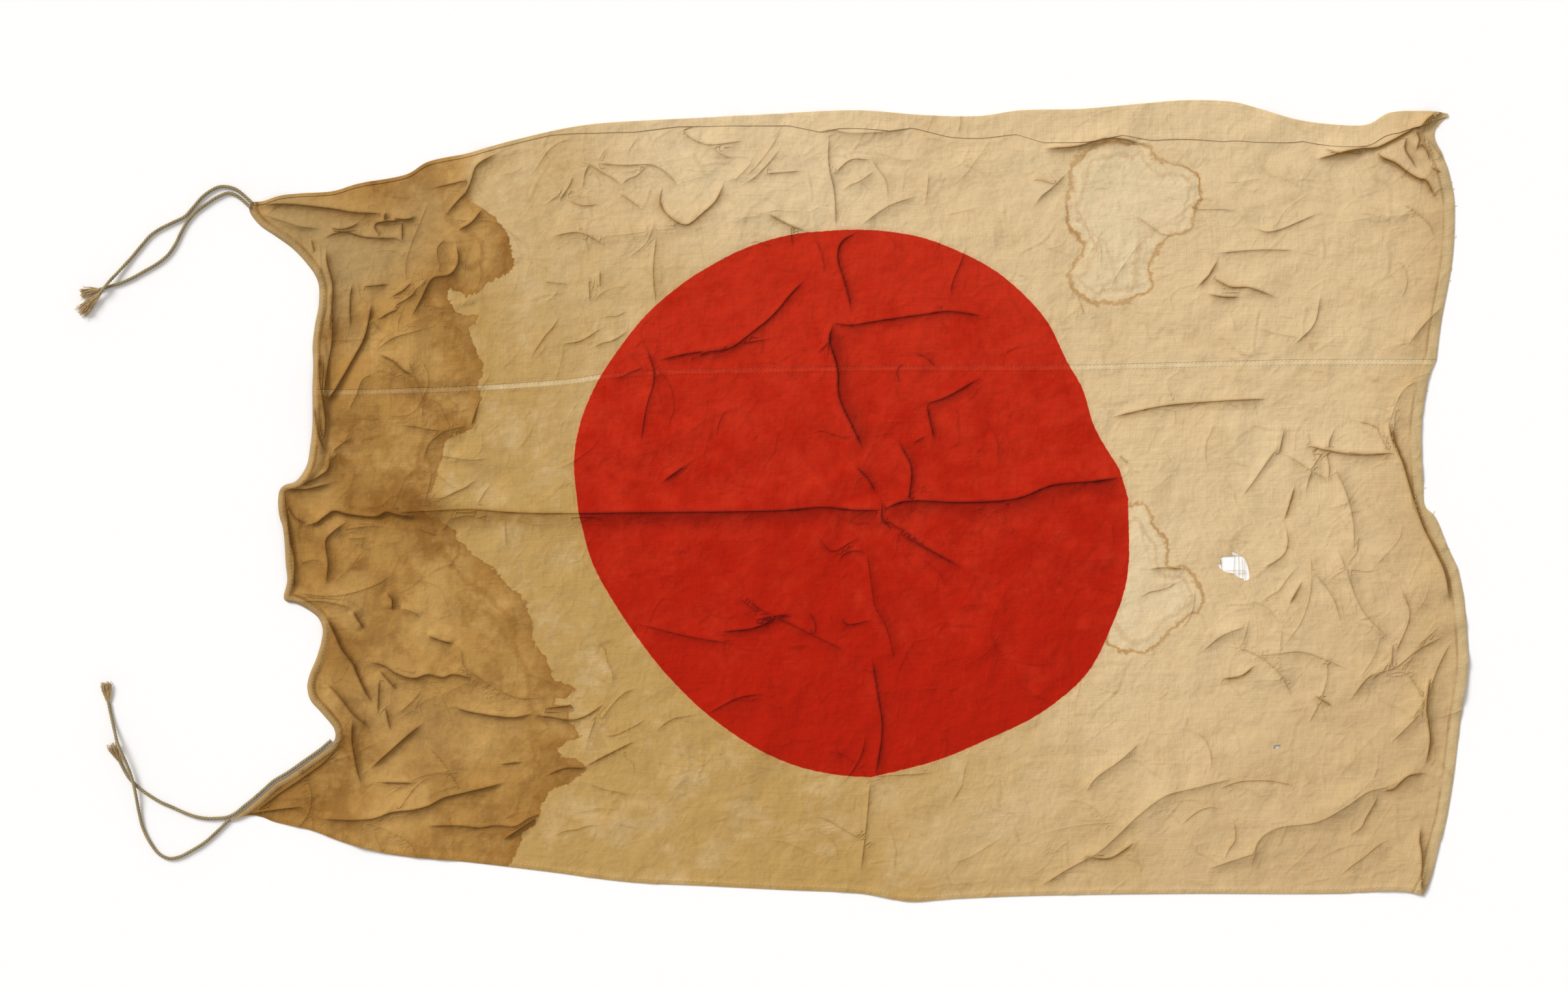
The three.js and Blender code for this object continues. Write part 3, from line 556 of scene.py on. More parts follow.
def smooth_line(points, pieces=10):
    """A smooth line through points, made of short straight pieces."""
    corners = np.array(points, float)
    if len(corners) == 2:
        return corners
    knots = np.vstack([2 * corners[0] - corners[1], corners, 2 * corners[-1] - corners[-2]])
    t = np.arange(pieces)[:, None] / pieces
    made = []
    for a, b, c, d in zip(knots, knots[1:], knots[2:], knots[3:]):
        ab, bc, cd = (math.sqrt(np.linalg.norm(q - p)) for p, q in ((a, b), (b, c), (c, d)))
        leaving = bc * ((b - a) / ab - (c - a) / (ab + bc) + (c - b) / bc)
        arriving = bc * ((c - b) / bc - (d - b) / (bc + cd) + (d - c) / cd)
        made.append((2 * t**3 - 3 * t**2 + 1) * b + (t**3 - 2 * t**2 + t) * leaving
                    + (3 * t**2 - 2 * t**3) * c + (t**3 - t**2) * arriving)
    made.append(corners[-1:])
    return np.vstack(made)


def along(line, shares):
    """The points at these shares of a line's length."""
    steps = np.linalg.norm(np.diff(line, axis=0), axis=1)
    lengths = np.concatenate([[0], np.cumsum(steps)])
    at = np.clip(shares, 0, 1) * lengths[-1]
    return np.stack([np.interp(at, lengths, line[:, k]) for k in range(line.shape[1])], axis=1)


def measure_from(points, line):
    """How far points are from a line, whether on its left (1) or right (-1), and how far along."""
    nearest = np.full(len(points), np.inf)
    side = np.ones(len(points))
    run = np.zeros(len(points))
    travelled = 0.0
    for start, end in zip(line, line[1:]):
        span = end - start
        length = math.hypot(*span)
        if length < 1e-9:
            continue
        offset = points - start
        share = np.clip(offset @ span / length**2, 0, 1)
        gap = offset - share[:, None] * span
        distance = np.hypot(gap[:, 0], gap[:, 1])
        closer = distance < nearest
        nearest = np.where(closer, distance, nearest)
        left = span[0] * offset[:, 1] - span[1] * offset[:, 0] >= 0
        side = np.where(closer, np.where(left, 1.0, -1.0), side)
        run = np.where(closer, travelled + share * length, run)
        travelled += length
    return nearest, side, run


def depth_inside(points, outline, limit):
    """How deep points are inside a closed outline, and less than nought outside it."""
    ring = np.vstack([outline, outline[:1]])
    inside = np.zeros(len(points), bool)
    for start, end in zip(ring, ring[1:]):
        if start[1] == end[1]:
            continue
        spans = (start[1] > points[:, 1]) != (end[1] > points[:, 1])
        crossing = start[0] + (points[:, 1] - start[1]) / (end[1] - start[1]) * (end[0] - start[0])
        inside ^= spans & (points[:, 0] < crossing)
    distance = measure_from(points, ring)[0]
    return np.clip(np.where(inside, distance, -distance), -limit, limit)


def bump(t):
    """A smooth step from nought to one."""
    t = np.clip(t, 0, 1)
    return t * t * (3 - 2 * t)


# ---------------------------------------------------------------- the cloth's relief


def scattered_creases():
    """Small creases with the crumpled regions' headings, the same ones every time."""
    draws = random.Random("crumpled cotton")
    made = []
    for low, high, count, heading, spread, length, height, softness in CRUMPLED:
        for _ in range(count):
            start = [draws.uniform(a, b) for a, b in zip(low, high)]
            turn = math.radians(draws.gauss(heading, spread))
            bend = draws.gauss(0, 0.35)
            step = length * draws.uniform(0.5, 1.5) / 4
            corners = [tuple(start)]
            for _ in range(4):
                turn += bend / 2 + draws.gauss(0, 0.22)
                x, y = corners[-1]
                corners.append((x + step * math.cos(turn), y + step * math.sin(turn)))
            firm = draws.random()
            kind = Kind(
                height=height * (0.5 + firm), gentle=(7 + 7 * draws.random()) * softness,
                steep=(3.5 + 5 * (1 - firm)) * softness,
                sharp=(0.15 + 0.7 * firm**3) / softness**2,
                dirt=(0.2 + 0.4 * firm) / softness, pale=draws.random() < 0.3)
            made.append((kind, corners))
    return made


ALL_CREASES = CREASES + scattered_creases()


class Relief:
    """The shape in which the cloth lies, and what the shader reads of its creases, at many plan
    points.
    """

    HIGHEST = 15.0  # no fold stands higher
    SWELL = 1.6
    FACET_SIZE = (62, 54)
    FACET_HEIGHT, PUCKER_HEIGHT = 1.5, 0.55
    FAR = 30.0  # the distance noted where no crease is near
    LINE_REACH = 6.0  # how far a crease's own line counts
    WIDTHS_REACHED = 2.4  # past this many widths a crease no longer lifts the cloth
    LONGEST_FADE = 22  # over which a long crease dies away at its ends
    SEED = 7

    def __init__(self, points):
        self.points = points
        self.lift = self.swell() + self.crumple()
        self.side = np.zeros(len(points))
        self.distance = np.full(len(points), self.FAR)
        self.shade = np.zeros(len(points))
        self.near = np.zeros(len(points))
        self.dirt = np.zeros(len(points))
        for kind, corners in ALL_CREASES:
            self.add_crease(kind, smooth_line(corners, 5))
        self.lift = np.maximum(self.lift, 0)
        self.lift = self.HIGHEST * (1 - np.exp(-self.lift / self.HIGHEST))

    def marks(self):
        """What the shader reads of the creases.

        The strongest crease at each point gives its distance, side, line, and how dark its line is
        painted, partly as soiling and partly as painted shade. The shade is painted shade beside
        every crease, and is wider on the side away from the light.
        """
        return {"fold_side": self.side, "fold_distance": self.distance,
                "fold_near": self.near, "fold_dirt_and_shade": self.dirt, "fold_shade": self.shade}

    def swell(self):
        """The slow rise and fall of the cloth, which leaves most of it lying."""
        x, y = self.points.T
        return self.SWELL * (np.sin(x / 71 + y / 190) * np.sin(y / 63 - x / 230) - 0.25)

    def crumple(self):
        """Small flat facets with soft edges, as cloth keeps when it's been folded small."""
        noise.seed_set(self.SEED)  # without it, the noise vector follows the clock
        heights = np.empty(len(self.points))
        for i, (x, y) in enumerate(self.points):
            place = Vector((x / self.FACET_SIZE[0], y / self.FACET_SIZE[1], 0))
            place += 0.35 * noise.noise_vector(place * 1.7)
            ranks = noise.voronoi(place)[0]
            small = noise.noise(Vector((x / 17, y / 15, 3.0)))
            facet = min(1.0, (ranks[1] - ranks[0]) * 1.8)
            heights[i] = self.FACET_HEIGHT * facet + self.PUCKER_HEIGHT * small
        return heights - 0.4

    def add_crease(self, kind, line):
        """Lift the cloth along a line, and note the line where it's the strongest so far."""
        reach = self.WIDTHS_REACHED * max(kind.gentle, kind.steep)
        low, high = line.min(axis=0) - reach, line.max(axis=0) + reach
        chosen = np.flatnonzero(np.all((self.points > low) & (self.points < high), axis=1))
        if not len(chosen):
            return
        distance, side, run = measure_from(self.points[chosen], line)
        length = np.linalg.norm(np.diff(line, axis=0), axis=1).sum()
        fade = min(0.3 * length, self.LONGEST_FADE)
        ends = bump(run / fade + 0.25) * bump((length - run) / fade + 0.25)
        heading = line[-1] - line[0]
        light_on_left = heading[0] * TOWARDS_LIGHT[1] - heading[1] * TOWARDS_LIGHT[0] > 0
        gentle_side = 1 if light_on_left != kind.pale else -1
        widths = np.where(side == gentle_side, kind.gentle, kind.steep)
        wander = 0.85 + 0.15 * np.sin(run / 19 + line[0][0])
        self.lift[chosen] += kind.height * wander * ends * np.exp(-((distance / widths) ** 1.5))
        # Painted shade beside the crease, narrow on its gentle side and wide on its steep side.
        away = np.where(side == gentle_side, 0.3 * np.exp(-((distance / 3) ** 2)),
                        np.exp(-((distance / (1.5 * kind.steep + 3)) ** 2)))
        shade = kind.dirt * kind.sharp * ends * away
        self.shade[chosen] = np.maximum(self.shade[chosen], shade)
        near = kind.sharp * ends * np.exp(-((distance / self.LINE_REACH) ** 2))
        wins = near > self.near[chosen]
        winners = chosen[wins]
        self.side[winners] = (side * distance * (-gentle_side))[wins]
        self.distance[winners] = distance[wins]
        self.near[winners] = near[wins]
        self.dirt[winners] = kind.dirt


def blots(points, spots):
    """Soft overlapping spots: (x, y, reach, depth)."""
    total = np.zeros(len(points))
    for x, y, reach, depth in spots:
        total += depth * np.exp(-(((points - (x, y)) ** 2).sum(axis=1) / reach**2))
    return np.clip(total, 0, 1)


DISC = np.vstack([smooth_line(arc, 4)[:-1] for arc in DISC_ARCS])
TIDE_LINE = smooth_line(TIDE, 3)
TIDE_AREA = np.vstack([TIDE_LINE, [(-3000, -520), (-3000, 470)]])
UPPER_RING_LINE = smooth_line(UPPER_RING + UPPER_RING[:1], 4)[:-1]
LOWER_RING_LINE = smooth_line(LOWER_RING + LOWER_RING[:1], 4)[:-1]
HOLE_LINES = [smooth_line(hole + hole[:1], 5)[:-1] for hole in (LARGE_HOLE, SMALL_HOLE)]
SEAM_LINE = smooth_line(SEAM)
EDGES = {
    "hoist": np.vstack([smooth_line(HOIST_LOWER)[:-1], smooth_line(HOIST_UPPER)]),
    "fly": np.vstack([smooth_line(FLY_LOWER)[:-1], smooth_line(FLY_UPPER)]),
    "bottom": smooth_line(BOTTOM),
    "top": smooth_line(TOP),
}


def markings(points):
    """What the shaders read at each plan point: distances in millimetres, and depths of stain.

    Each distance is cut off beyond the last place where a shader or a hem uses it.
    """
    marks = {
        "disc": depth_inside(points, DISC, 60),
        "tide": depth_inside(points, TIDE_AREA, 150),
        "upper_ring": depth_inside(points, UPPER_RING_LINE, 60),
        "lower_ring": depth_inside(points, LOWER_RING_LINE, 60),
        "damp_and_shade_spots": blots(points, DAMP_AND_SHADE),
        "greyed": blots(points, GREYED),
        "bleached": blots(points, BLEACHED),
        "soil_and_shade_spots": blots(points, SOIL_AND_SHADE),
    }
    for name, line in EDGES.items():
        marks[name] = np.clip(measure_from(points, line)[0], 0, 120)
    distance, side, _ = measure_from(points, SEAM_LINE)
    marks["below_seam"] = np.clip(-side * distance, -60, 60)
    holes = [depth_inside(points, line, 40) for line in HOLE_LINES]
    marks["from_hole"] = -np.maximum(*holes)
    return marks


# ---------------------------------------------------------------- objects


def object_with(name, data):
    """A new object in the scene, at the origin."""
    made = bpy.data.objects.new(name, data)
    bpy.context.scene.collection.objects.link(made)
    return made


def piece_from(bm, name):
    """A new piece with a bmesh's shape, smoothly shaded."""
    mesh = bpy.data.meshes.new(name)
    bm.to_mesh(mesh)
    bm.free()
    mesh.shade_smooth()
    return object_with(name, mesh)


# ---------------------------------------------------------------- making a sheet

# Where the mesh is cut finer, in millimetres: a crease is left out if even its steep side is
# wider than this, and then cells are cut once this near to a crease or an edge, and once more
# this near to something sharp.
GENTLEST_CUT = 9
NEAR_CREASE, NEAR_EDGE, NEAR_SHARP = 7, 14, 7
SHARPEST_SMOOTH = 1.0  # radians between two faces, past which their edge is shaded sharp


def patch(bottom, top, left, right, u, v):
    """Four edges filled with a smooth patch. An edge's own wander fades out across the sheet."""
    across = along(bottom, u) * (1 - v)[:, None] + along(top, u) * v[:, None]
    upward = along(left, v) * (1 - u)[:, None] + along(right, v) * u[:, None]
    corners = (((1 - u) * (1 - v))[:, None] * left[0] + (u * (1 - v))[:, None] * right[0]
               + ((1 - u) * v)[:, None] * left[-1] + (u * v)[:, None] * right[-1])
    return across + upward - corners


def refined_grid(across, up, place, levels):
    """A flat grid over the unit square, whose cells are cut in four where a level's test asks."""
    bm = bmesh.new()
    bmesh.ops.create_grid(bm, x_segments=across, y_segments=up, size=0.5)
    bmesh.ops.translate(bm, verts=bm.verts, vec=(0.5, 0.5, 0))
    for wants_detail in levels:
        centres = np.array([face.calc_center_median()[:2] for face in bm.faces])
        chosen = wants_detail(place(centres[:, 0], centres[:, 1]))
        edges = {edge for face, cut in zip(bm.faces, chosen) if cut for edge in face.edges}
        bmesh.ops.subdivide_edges(bm, edges=list(edges), cuts=1, use_grid_fill=True)
    return bm


def nearness(points):
    """Distances in millimetres to the nearest crease or seam, sharp detail, and edge."""
    crease = np.full(len(points), 1e3)
    sharp = np.full(len(points), 1e3)
    for kind, corners in ALL_CREASES:
        if kind.steep > GENTLEST_CUT:
            continue
        line = np.array(corners, float)
        low, high = line.min(axis=0) - 40, line.max(axis=0) + 40
        chosen = np.flatnonzero(np.all((points > low) & (points < high), axis=1))
        if not len(chosen):
            continue
        distance = measure_from(points[chosen], line)[0]
        crease[chosen] = np.minimum(crease[chosen], distance)
        if kind in (PLEAT, DEEP):
            sharp[chosen] = np.minimum(sharp[chosen], distance)
    for line in HOLE_LINES:
        sharp = np.minimum(sharp, measure_from(points, line)[0])
    edge = np.minimum.reduce([measure_from(points, line)[0] for line in EDGES.values()])
    seam = measure_from(points, SEAM_LINE)[0]
    return np.minimum(crease, seam), np.minimum(sharp, 2 + np.minimum(edge, seam) * 0.7), edge


def wants_some(points):
    """Where the cells are cut once."""
    crease, _, edge = nearness(points)
    return (crease < NEAR_CREASE) | (edge < NEAR_EDGE)


def wants_most(points):
    """Where the cells are cut a second time."""
    return nearness(points)[1] < NEAR_SHARP


def sheet_from(bm, outer, inner, marks, flat, name):
    """A closed sheet between two faces, with the marks that its shader reads.

    The grid's vertices hold places in the unit square. outer and inner are where they go on the
    sheet's two faces, and flat is where they were before the cloth was laid, all in metres.
    """
    order = bm.verts.layers.int.new("order")
    for i, vertex in enumerate(bm.verts):
        vertex[order] = i
        vertex.co = outer[i]
    doomed = [f for f in bm.faces if all(marks["from_hole"][v[order]] < 0.3 for v in f.verts)]
    bmesh.ops.delete(bm, geom=doomed, context="FACES")
    order = bm.verts.layers.int["order"]
    made = bmesh.ops.extrude_face_region(bm, geom=bm.faces[:])
    for vertex in (g for g in made["geom"] if isinstance(g, bmesh.types.BMVert)):
        vertex.co = inner[vertex[order]]
    bmesh.ops.recalc_face_normals(bm, faces=bm.faces)
    for edge in bm.edges:
        edge.smooth = edge.calc_face_angle(0) < SHARPEST_SMOOTH
    piece = piece_from(bm, name)
    mesh = piece.data
    indices = np.empty(len(mesh.vertices), np.int32)
    mesh.attributes["order"].data.foreach_get("value", indices)
    for mark, values in marks.items():
        layer = mesh.attributes.new(mark, "FLOAT", "POINT")
        layer.data.foreach_set("value", values[indices].astype(np.float32))
    mesh.attributes.remove(mesh.attributes["order"])
    corners = np.empty(len(mesh.loops), np.int32)
    mesh.loops.foreach_get("vertex_index", corners)
    threads = mesh.uv_layers.new(name="threads")
    threads.data.foreach_set("uv", flat[indices][corners].astype(np.float32).ravel())
    return piece


def snap_to_holes(points, step):
    """Plan points next to a hole's edge, moved onto it."""
    moved = points.copy()
    for line in HOLE_LINES:
        ring = np.vstack([line, line[:1]])
        distance, _, run = measure_from(points, ring)
        length = np.linalg.norm(np.diff(ring, axis=0), axis=1).sum()
        near = distance < step
        moved[near] = along(ring, run[near] / length)
    return moved


def rolled_hem(distance, width, height):
    """The extra thickness of a hem, which falls away past its stitches."""
    return height * (1 - bump((distance - width + 1.5) / 3)) * bump(distance / 5 + 0.3)


def hoist_roll(points, distance):
    """The height of the hoist's rolled edge, which is thickest and twisted above the tab."""
    y = points[:, 1]
    thick_from, thick_to = 8, 190
    turn_length, turn_width = 44, 21
    thick = bump((y - thick_from) / 40) * (1 - bump((y - thick_to) / 50))
    width = 8 + 13 * thick
    share = np.clip(distance / width, 0, 1)
    twist = 1.1 * thick * np.sin(2 * np.pi * (y / turn_length + distance / turn_width))
    return np.sin(np.pi * share) ** 0.8 * (1.8 + 3.4 * thick + twist)


class ClothPlan:
    """A cloth's grid over the unit square, where its vertices lie in plan, and what's there."""

    def __init__(self, settings, size, place, snap=0):
        across, up = (round(side / settings.cell) for side in size)
        self.bm = refined_grid(across, up, place, [wants_some, wants_most])
        self.spots = np.array([vertex.co[:2] for vertex in self.bm.verts])
        self.points = snap_to_holes(place(self.spots[:, 0], self.spots[:, 1]), snap)
        relief = Relief(self.points)
        self.lift = relief.lift
        self.marks = {**markings(self.points), **relief.marks()}
        self.edge = np.minimum(self.marks["hoist"], self.marks["fly"])
        self.thickness = settings.thickness / MM
        self.extra = (settings.hem - settings.thickness) / MM
        self.width = settings.hem_width / MM

    def side_hems(self):
        """The extra thickness of the hoist's and the fly's hems."""
        return rolled_hem(self.edge, self.width, self.extra)


def finish_cloth(piece, node, cloth):
    """Give a cloth its material, and say which part it replaces and how it lies."""
    piece.data.materials.append(cloth)
    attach(piece, "root")
    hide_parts(node)


# ---------------------------------------------------------------- nodes


def add_node(tree, kind, settings=(), links=()):
    """A node with its settings, and with values or other nodes' outputs put into its inputs."""
    node = tree.nodes.new(kind)
    for name, value in dict(settings).items():
        setattr(node, name, value)
    for socket, value in dict(links).items():
        if isinstance(value, bpy.types.Node):
            value = value.outputs[0]
        if isinstance(value, bpy.types.NodeSocket):
            tree.links.new(value, node.inputs[socket])
        else:
            node.inputs[socket].default_value = value
    return node


def new_material(name):
    """An empty material, and its node tree."""
    material = bpy.data.materials.new(name)
    material.use_nodes = True
    material.node_tree.nodes.clear()
    return material, material.node_tree


def woven_cotton(settings):
    """Plain-woven cotton sheeting, hand-dyed and aged, made once for both cloths.

    It's matt, with a trace of fuzz that catches light at a low angle. The threads are uneven, so
    the surface shows fine level and upright streaks. The creases are painted darker, partly as
    soiling and partly as painted shade, and water has carried soiling into brown tide lines.
    """
    material = bpy.data.materials.get("woven_cotton")
    if material:
        return material
    material, tree = new_material("woven_cotton")

    def maths(operation, *values, clamp=False):
        return add_node(tree, "ShaderNodeMath", {"operation": operation, "use_clamp": clamp},
                        enumerate(values))

    def mark(name):
        return add_node(tree, "ShaderNodeAttribute", {"attribute_name": name}).outputs["Fac"]

    def mix(share, first, second, blend="MIX"):
        return add_node(tree, "ShaderNodeMix", {"data_type": "RGBA", "blend_type": blend},
                        {0: share, 6: first, 7: second}).outputs[2]

    def step(value, low, high):
        return add_node(tree, "ShaderNodeMapRange", {"interpolation_type": "SMOOTHSTEP"},
                        {0: value, 1: low, 2: high, 3: 0.0, 4: 1.0})

    place = add_node(tree, "ShaderNodeTexCoord").outputs["Object"]
    axes = add_node(tree, "ShaderNodeSeparateXYZ", {}, {"Vector": place})
    threads = add_node(tree, "ShaderNodeUVMap", {"uv_map": "threads"})

    def mottle(scale, detail=3.0, rough=0.6, where=place):
        return add_node(tree, "ShaderNodeTexNoise", {}, {
            "Vector": where, "Scale": scale, "Detail": detail, "Roughness": rough}).outputs["Fac"]

    # Crumple lines: the edges of small flat facets, broken up so that few of them close.
    bend = add_node(tree, "ShaderNodeTexNoise", {}, {"Vector": place, "Scale": 11.0})
    bend = add_node(tree, "ShaderNodeVectorMath", {"operation": "SCALE"},
                    {0: bend.outputs["Color"], "Scale": 0.05})
    bent = add_node(tree, "ShaderNodeVectorMath", {"operation": "ADD"}, {0: place, 1: bend})
    network = 0.0
    for scale, width, share in ((13.0, 0.06, 1.0), (27.0, 0.09, 0.6)):
        facets = add_node(tree, "ShaderNodeTexVoronoi", {
            "voronoi_dimensions": "2D", "feature": "DISTANCE_TO_EDGE"},
            {"Vector": bent, "Scale": scale})
        crack = maths("SUBTRACT", 1.0, step(facets, 0.0, width))
        broken = step(mottle(scale * 1.3, 2.0), 0.47, 0.62)
        network = maths("ADD", network, maths("MULTIPLY", maths("MULTIPLY", crack, broken), share))

    # The cotton itself: palest near the fly, with clouds, and uneven threads each way.
    clouds = mottle(5.0, 5.0, 0.62)
    patches = mottle(16.0, 4.0, 0.6)
    specks = mottle(60.0, 4.0, 0.65)
    age = maths("ADD", maths("MULTIPLY_ADD", axes.outputs["Y"], 0.8, axes.outputs["X"]),
                maths("MULTIPLY_ADD", clouds, 0.6, -0.3))
    colour = mix(step(age, -0.4, 0.25), list(settings.cotton), list(settings.cotton_pale))
    blotch = maths("MULTIPLY_ADD", specks, 0.5, patches)
    colour = mix(maths("MULTIPLY", step(blotch, 0.7, 1.0), 0.35), colour, linear("#D8BE93"))
    colour = mix(maths("MULTIPLY", step(blotch, 0.72, 0.45), 0.25), colour, linear("#B18A50"))
    colour = mix(maths("MULTIPLY", mark("bleached"), 0.6), colour, linear("#DFC79F"))
    near_fly = step(maths("ADD", mark("fly"), maths("MULTIPLY", clouds, 60.0)), 130.0, 20.0)
    low_fly = step(maths("SUBTRACT", axes.outputs["X"], axes.outputs["Y"]), 0.55, 1.1)
    near_fly = maths("MULTIPLY_ADD", low_fly, 0.9, near_fly, clamp=True)
    colour = mix(maths("MULTIPLY", near_fly, 0.45), colour, linear("#B08B55"))
    warp = add_node(tree, "ShaderNodeMapping", {}, {"Vector": threads, "Scale": (9, 700, 1)})
    weft = add_node(tree, "ShaderNodeMapping", {}, {"Vector": threads, "Scale": (700, 9, 1)})
    level_slubs = mottle(1.0, 2.0, 0.5, warp)
    upright_slubs = mottle(1.0, 2.0, 0.5, weft)
    slubs = maths("ADD", level_slubs, upright_slubs)

    # The disc: dye that took unevenly, with a pale orange bleed just outside its edge.
    edge_noise = maths("MULTIPLY_ADD", mottle(160.0, 3.0), 1.6, -0.8)
    disc = maths("ADD", mark("disc"), edge_noise)
    bleed = maths("MULTIPLY", step(disc, -7.0, 0.0), 0.2)
    colour = mix(bleed, colour, linear("#C98050"))
    dye = mix(step(maths("MULTIPLY_ADD", axes.outputs["Y"], 0.7, blotch), 0.55, 1.05),
              list(settings.dye), linear("#BE2B13"))
    in_disc = step(disc, -0.5, 0.7)
    colour = mix(in_disc, colour, dye)
    off_disc = maths("SUBTRACT", 1.0, in_disc)

    # The water stain: brown as far as a ragged tide line, which is darkest.
    ragged = maths("ADD", maths("MULTIPLY_ADD", mottle(34.0, 4.0, 0.62), 26.0, -13.0),
                   maths("MULTIPLY_ADD", mottle(150.0, 3.0, 0.6), 9.0, -4.5))
    tide = maths("ADD", mark("tide"), ragged)
    towards_top = step(axes.outputs["Y"], 0.36, 0.46)
    wet = step(maths("MULTIPLY_ADD", towards_top, 10.0, tide), -0.6,
               maths("MULTIPLY_ADD", towards_top, 45.0, 2.0))
    depth = maths("MULTIPLY_ADD", clouds, 0.35, 0.68, clamp=True)
    colour = mix(maths("MULTIPLY", wet, depth), colour, list(settings.damp))
    # The damp spots darken the stain; in the hoist's deep folds they are painted shade.
    deep = maths("MULTIPLY", maths("ADD", mark("damp_and_shade_spots"), step(blotch, 0.68, 0.9)),
                 maths("MULTIPLY", wet, 0.48), clamp=True)
    colour = mix(deep, colour, linear("#855923"))
    pale = maths("MULTIPLY", step(mottle(9.0, 5.0, 0.65), 0.46, 0.62),
                 maths("MULTIPLY", wet, 0.6))
    colour = mix(pale, colour, linear("#C49B5C"))
    rim = maths("ADD", maths("MULTIPLY", maths("SUBTRACT", 1.0, step(tide, 0.5, 4.0)), 0.5),
                maths("MULTIPLY", maths("SUBTRACT", 1.0, step(tide, 1.0, 22.0)), 0.5))
    second = maths("SUBTRACT", 1.0, step(maths("ABSOLUTE", maths(
        "SUBTRACT", tide, maths("MULTIPLY_ADD", clouds, 60.0, -2.0))), 0.5, 6.0))
    rim = maths("MULTIPLY", wet, maths("MULTIPLY_ADD", second, 0.45, rim, clamp=True))
    rim = maths("MULTIPLY", rim, maths("MULTIPLY_ADD", towards_top, -0.75, 1.0))
    colour = mix(maths("MULTIPLY", rim, 0.8), colour, linear("#8F6029"))
    colour = mix(maths("MULTIPLY", mark("greyed"), 0.7), colour, linear("#AE9365"))
    # Soiling along the fold of storage, and painted shade in the deepest folds of the lower hoist.
    soil_and_shade = maths("MULTIPLY", mark("soil_and_shade_spots"), maths("MULTIPLY_ADD", patches, 1.6, 0.1))
    colour = mix(maths("MULTIPLY", soil_and_shade, off_disc, clamp=True), colour, linear("#7C4F1F"))

    # Rings left by drops: washed paler inside a thin brown rim.
    for name in ("upper_ring", "lower_ring"):
        ring = maths("ADD", mark(name), ragged)
        inside = maths("MULTIPLY", step(ring, -2.0, 12.0), maths("MULTIPLY_ADD", patches, 0.9, 0.1))
        colour = mix(maths("MULTIPLY", inside, off_disc), colour, linear("#E0CBA4"))
        inner = maths("ABSOLUTE", maths("SUBTRACT", ring, maths("MULTIPLY", clouds, 30.0)))
        line = maths("ADD", maths("SUBTRACT", 1.0, step(maths("ABSOLUTE", ring), 0.5, 4.0)),
                     maths("MULTIPLY", maths("SUBTRACT", 1.0, step(inner, 0.5, 5.0)), 0.4))
        line = maths("MULTIPLY", line, maths("MULTIPLY_ADD", patches, 1.3, 0.0), clamp=True)
        colour = mix(maths("MULTIPLY", line, off_disc), colour, linear("#AE8046"))

    # The felled seam and the fly's hem are worn paler.
    seam = maths("MULTIPLY", step(mark("below_seam"), 0.0, 0.8),
                 maths("SUBTRACT", 1.0, step(mark("below_seam"), 5.0, 7.2)))
    seam = maths("MULTIPLY", seam, maths("MULTIPLY_ADD", wet, -0.7, 1.0))
    worn = mix(in_disc, linear("#DDC79E"), linear("#C33D20"))
    seam = maths("MULTIPLY", seam, maths("MULTIPLY_ADD", in_disc, -0.4, 1.0))
    colour = mix(maths("MULTIPLY", seam, specks), colour, worn)
    fly_hem = maths("SUBTRACT", 1.0, step(mark("fly"), 11.5, 13.0))
    colour = mix(maths("MULTIPLY", fly_hem, 0.5), colour, linear("#C4AE82"))
    hoist_hem = maths("SUBTRACT", 1.0, step(mark("hoist"), 6.0, 8.0))
    colour = mix(maths("MULTIPLY", hoist_hem, 0.6), colour, linear("#A48D65"))
    # A dark line painted along the groove just inside each hem: painted shade.
    for name, inset, share in (("fly", 14.0, 0.45), ("hoist", 9.5, 0.75)):
        groove_shade = maths("ABSOLUTE", maths("SUBTRACT", mark(name), inset))
        groove_shade = maths("SUBTRACT", 1.0, step(groove_shade, 0.3, 3.2))
        groove_shade = maths("MULTIPLY", groove_shade, step(patches, 0.3, 0.6))
        colour = mix(maths("MULTIPLY", groove_shade, share), colour, linear("#7C5626"))

    # Darkening painted along the creases' lines and, faintly, the crumple lines, partly as soiling
    # and partly as painted shade, with a wider painted shade on the side away from the light.
    side = mark("fold_side")
    crease = maths("EXPONENT", maths("MULTIPLY", maths("ABSOLUTE", side), -0.6))
    # A side also changes halfway between two creases, where there's no line to draw.
    crease = maths("MULTIPLY", crease, maths("SUBTRACT", 1.0, step(mark("fold_distance"), 3.5, 6.0)))
    line = maths("MULTIPLY", crease, mark("fold_near"))
    # held is the crease colour's share: partly soiling, partly painted shade.
    held = maths("MULTIPLY_ADD", mark("fold_shade"), 0.55, maths("MULTIPLY", line, mark("fold_dirt_and_shade")))
    held = maths("MULTIPLY_ADD", network, 0.1, held, clamp=True)
    grime_and_shade = mix(wet, linear("#94692B"), list(settings.grime_and_shade))
    colour = mix(held, colour, mix(in_disc, grime_and_shade, linear("#5F0F06")))

    # Threads, in tone and in relief. The real ones lie about 0.5 mm apart, which is too fine to
    # show, so they are drawn coarser.
    tone = maths("MULTIPLY_ADD", slubs, 0.22, 0.78)
    colour = mix(1.0, colour, tone, "MULTIPLY")

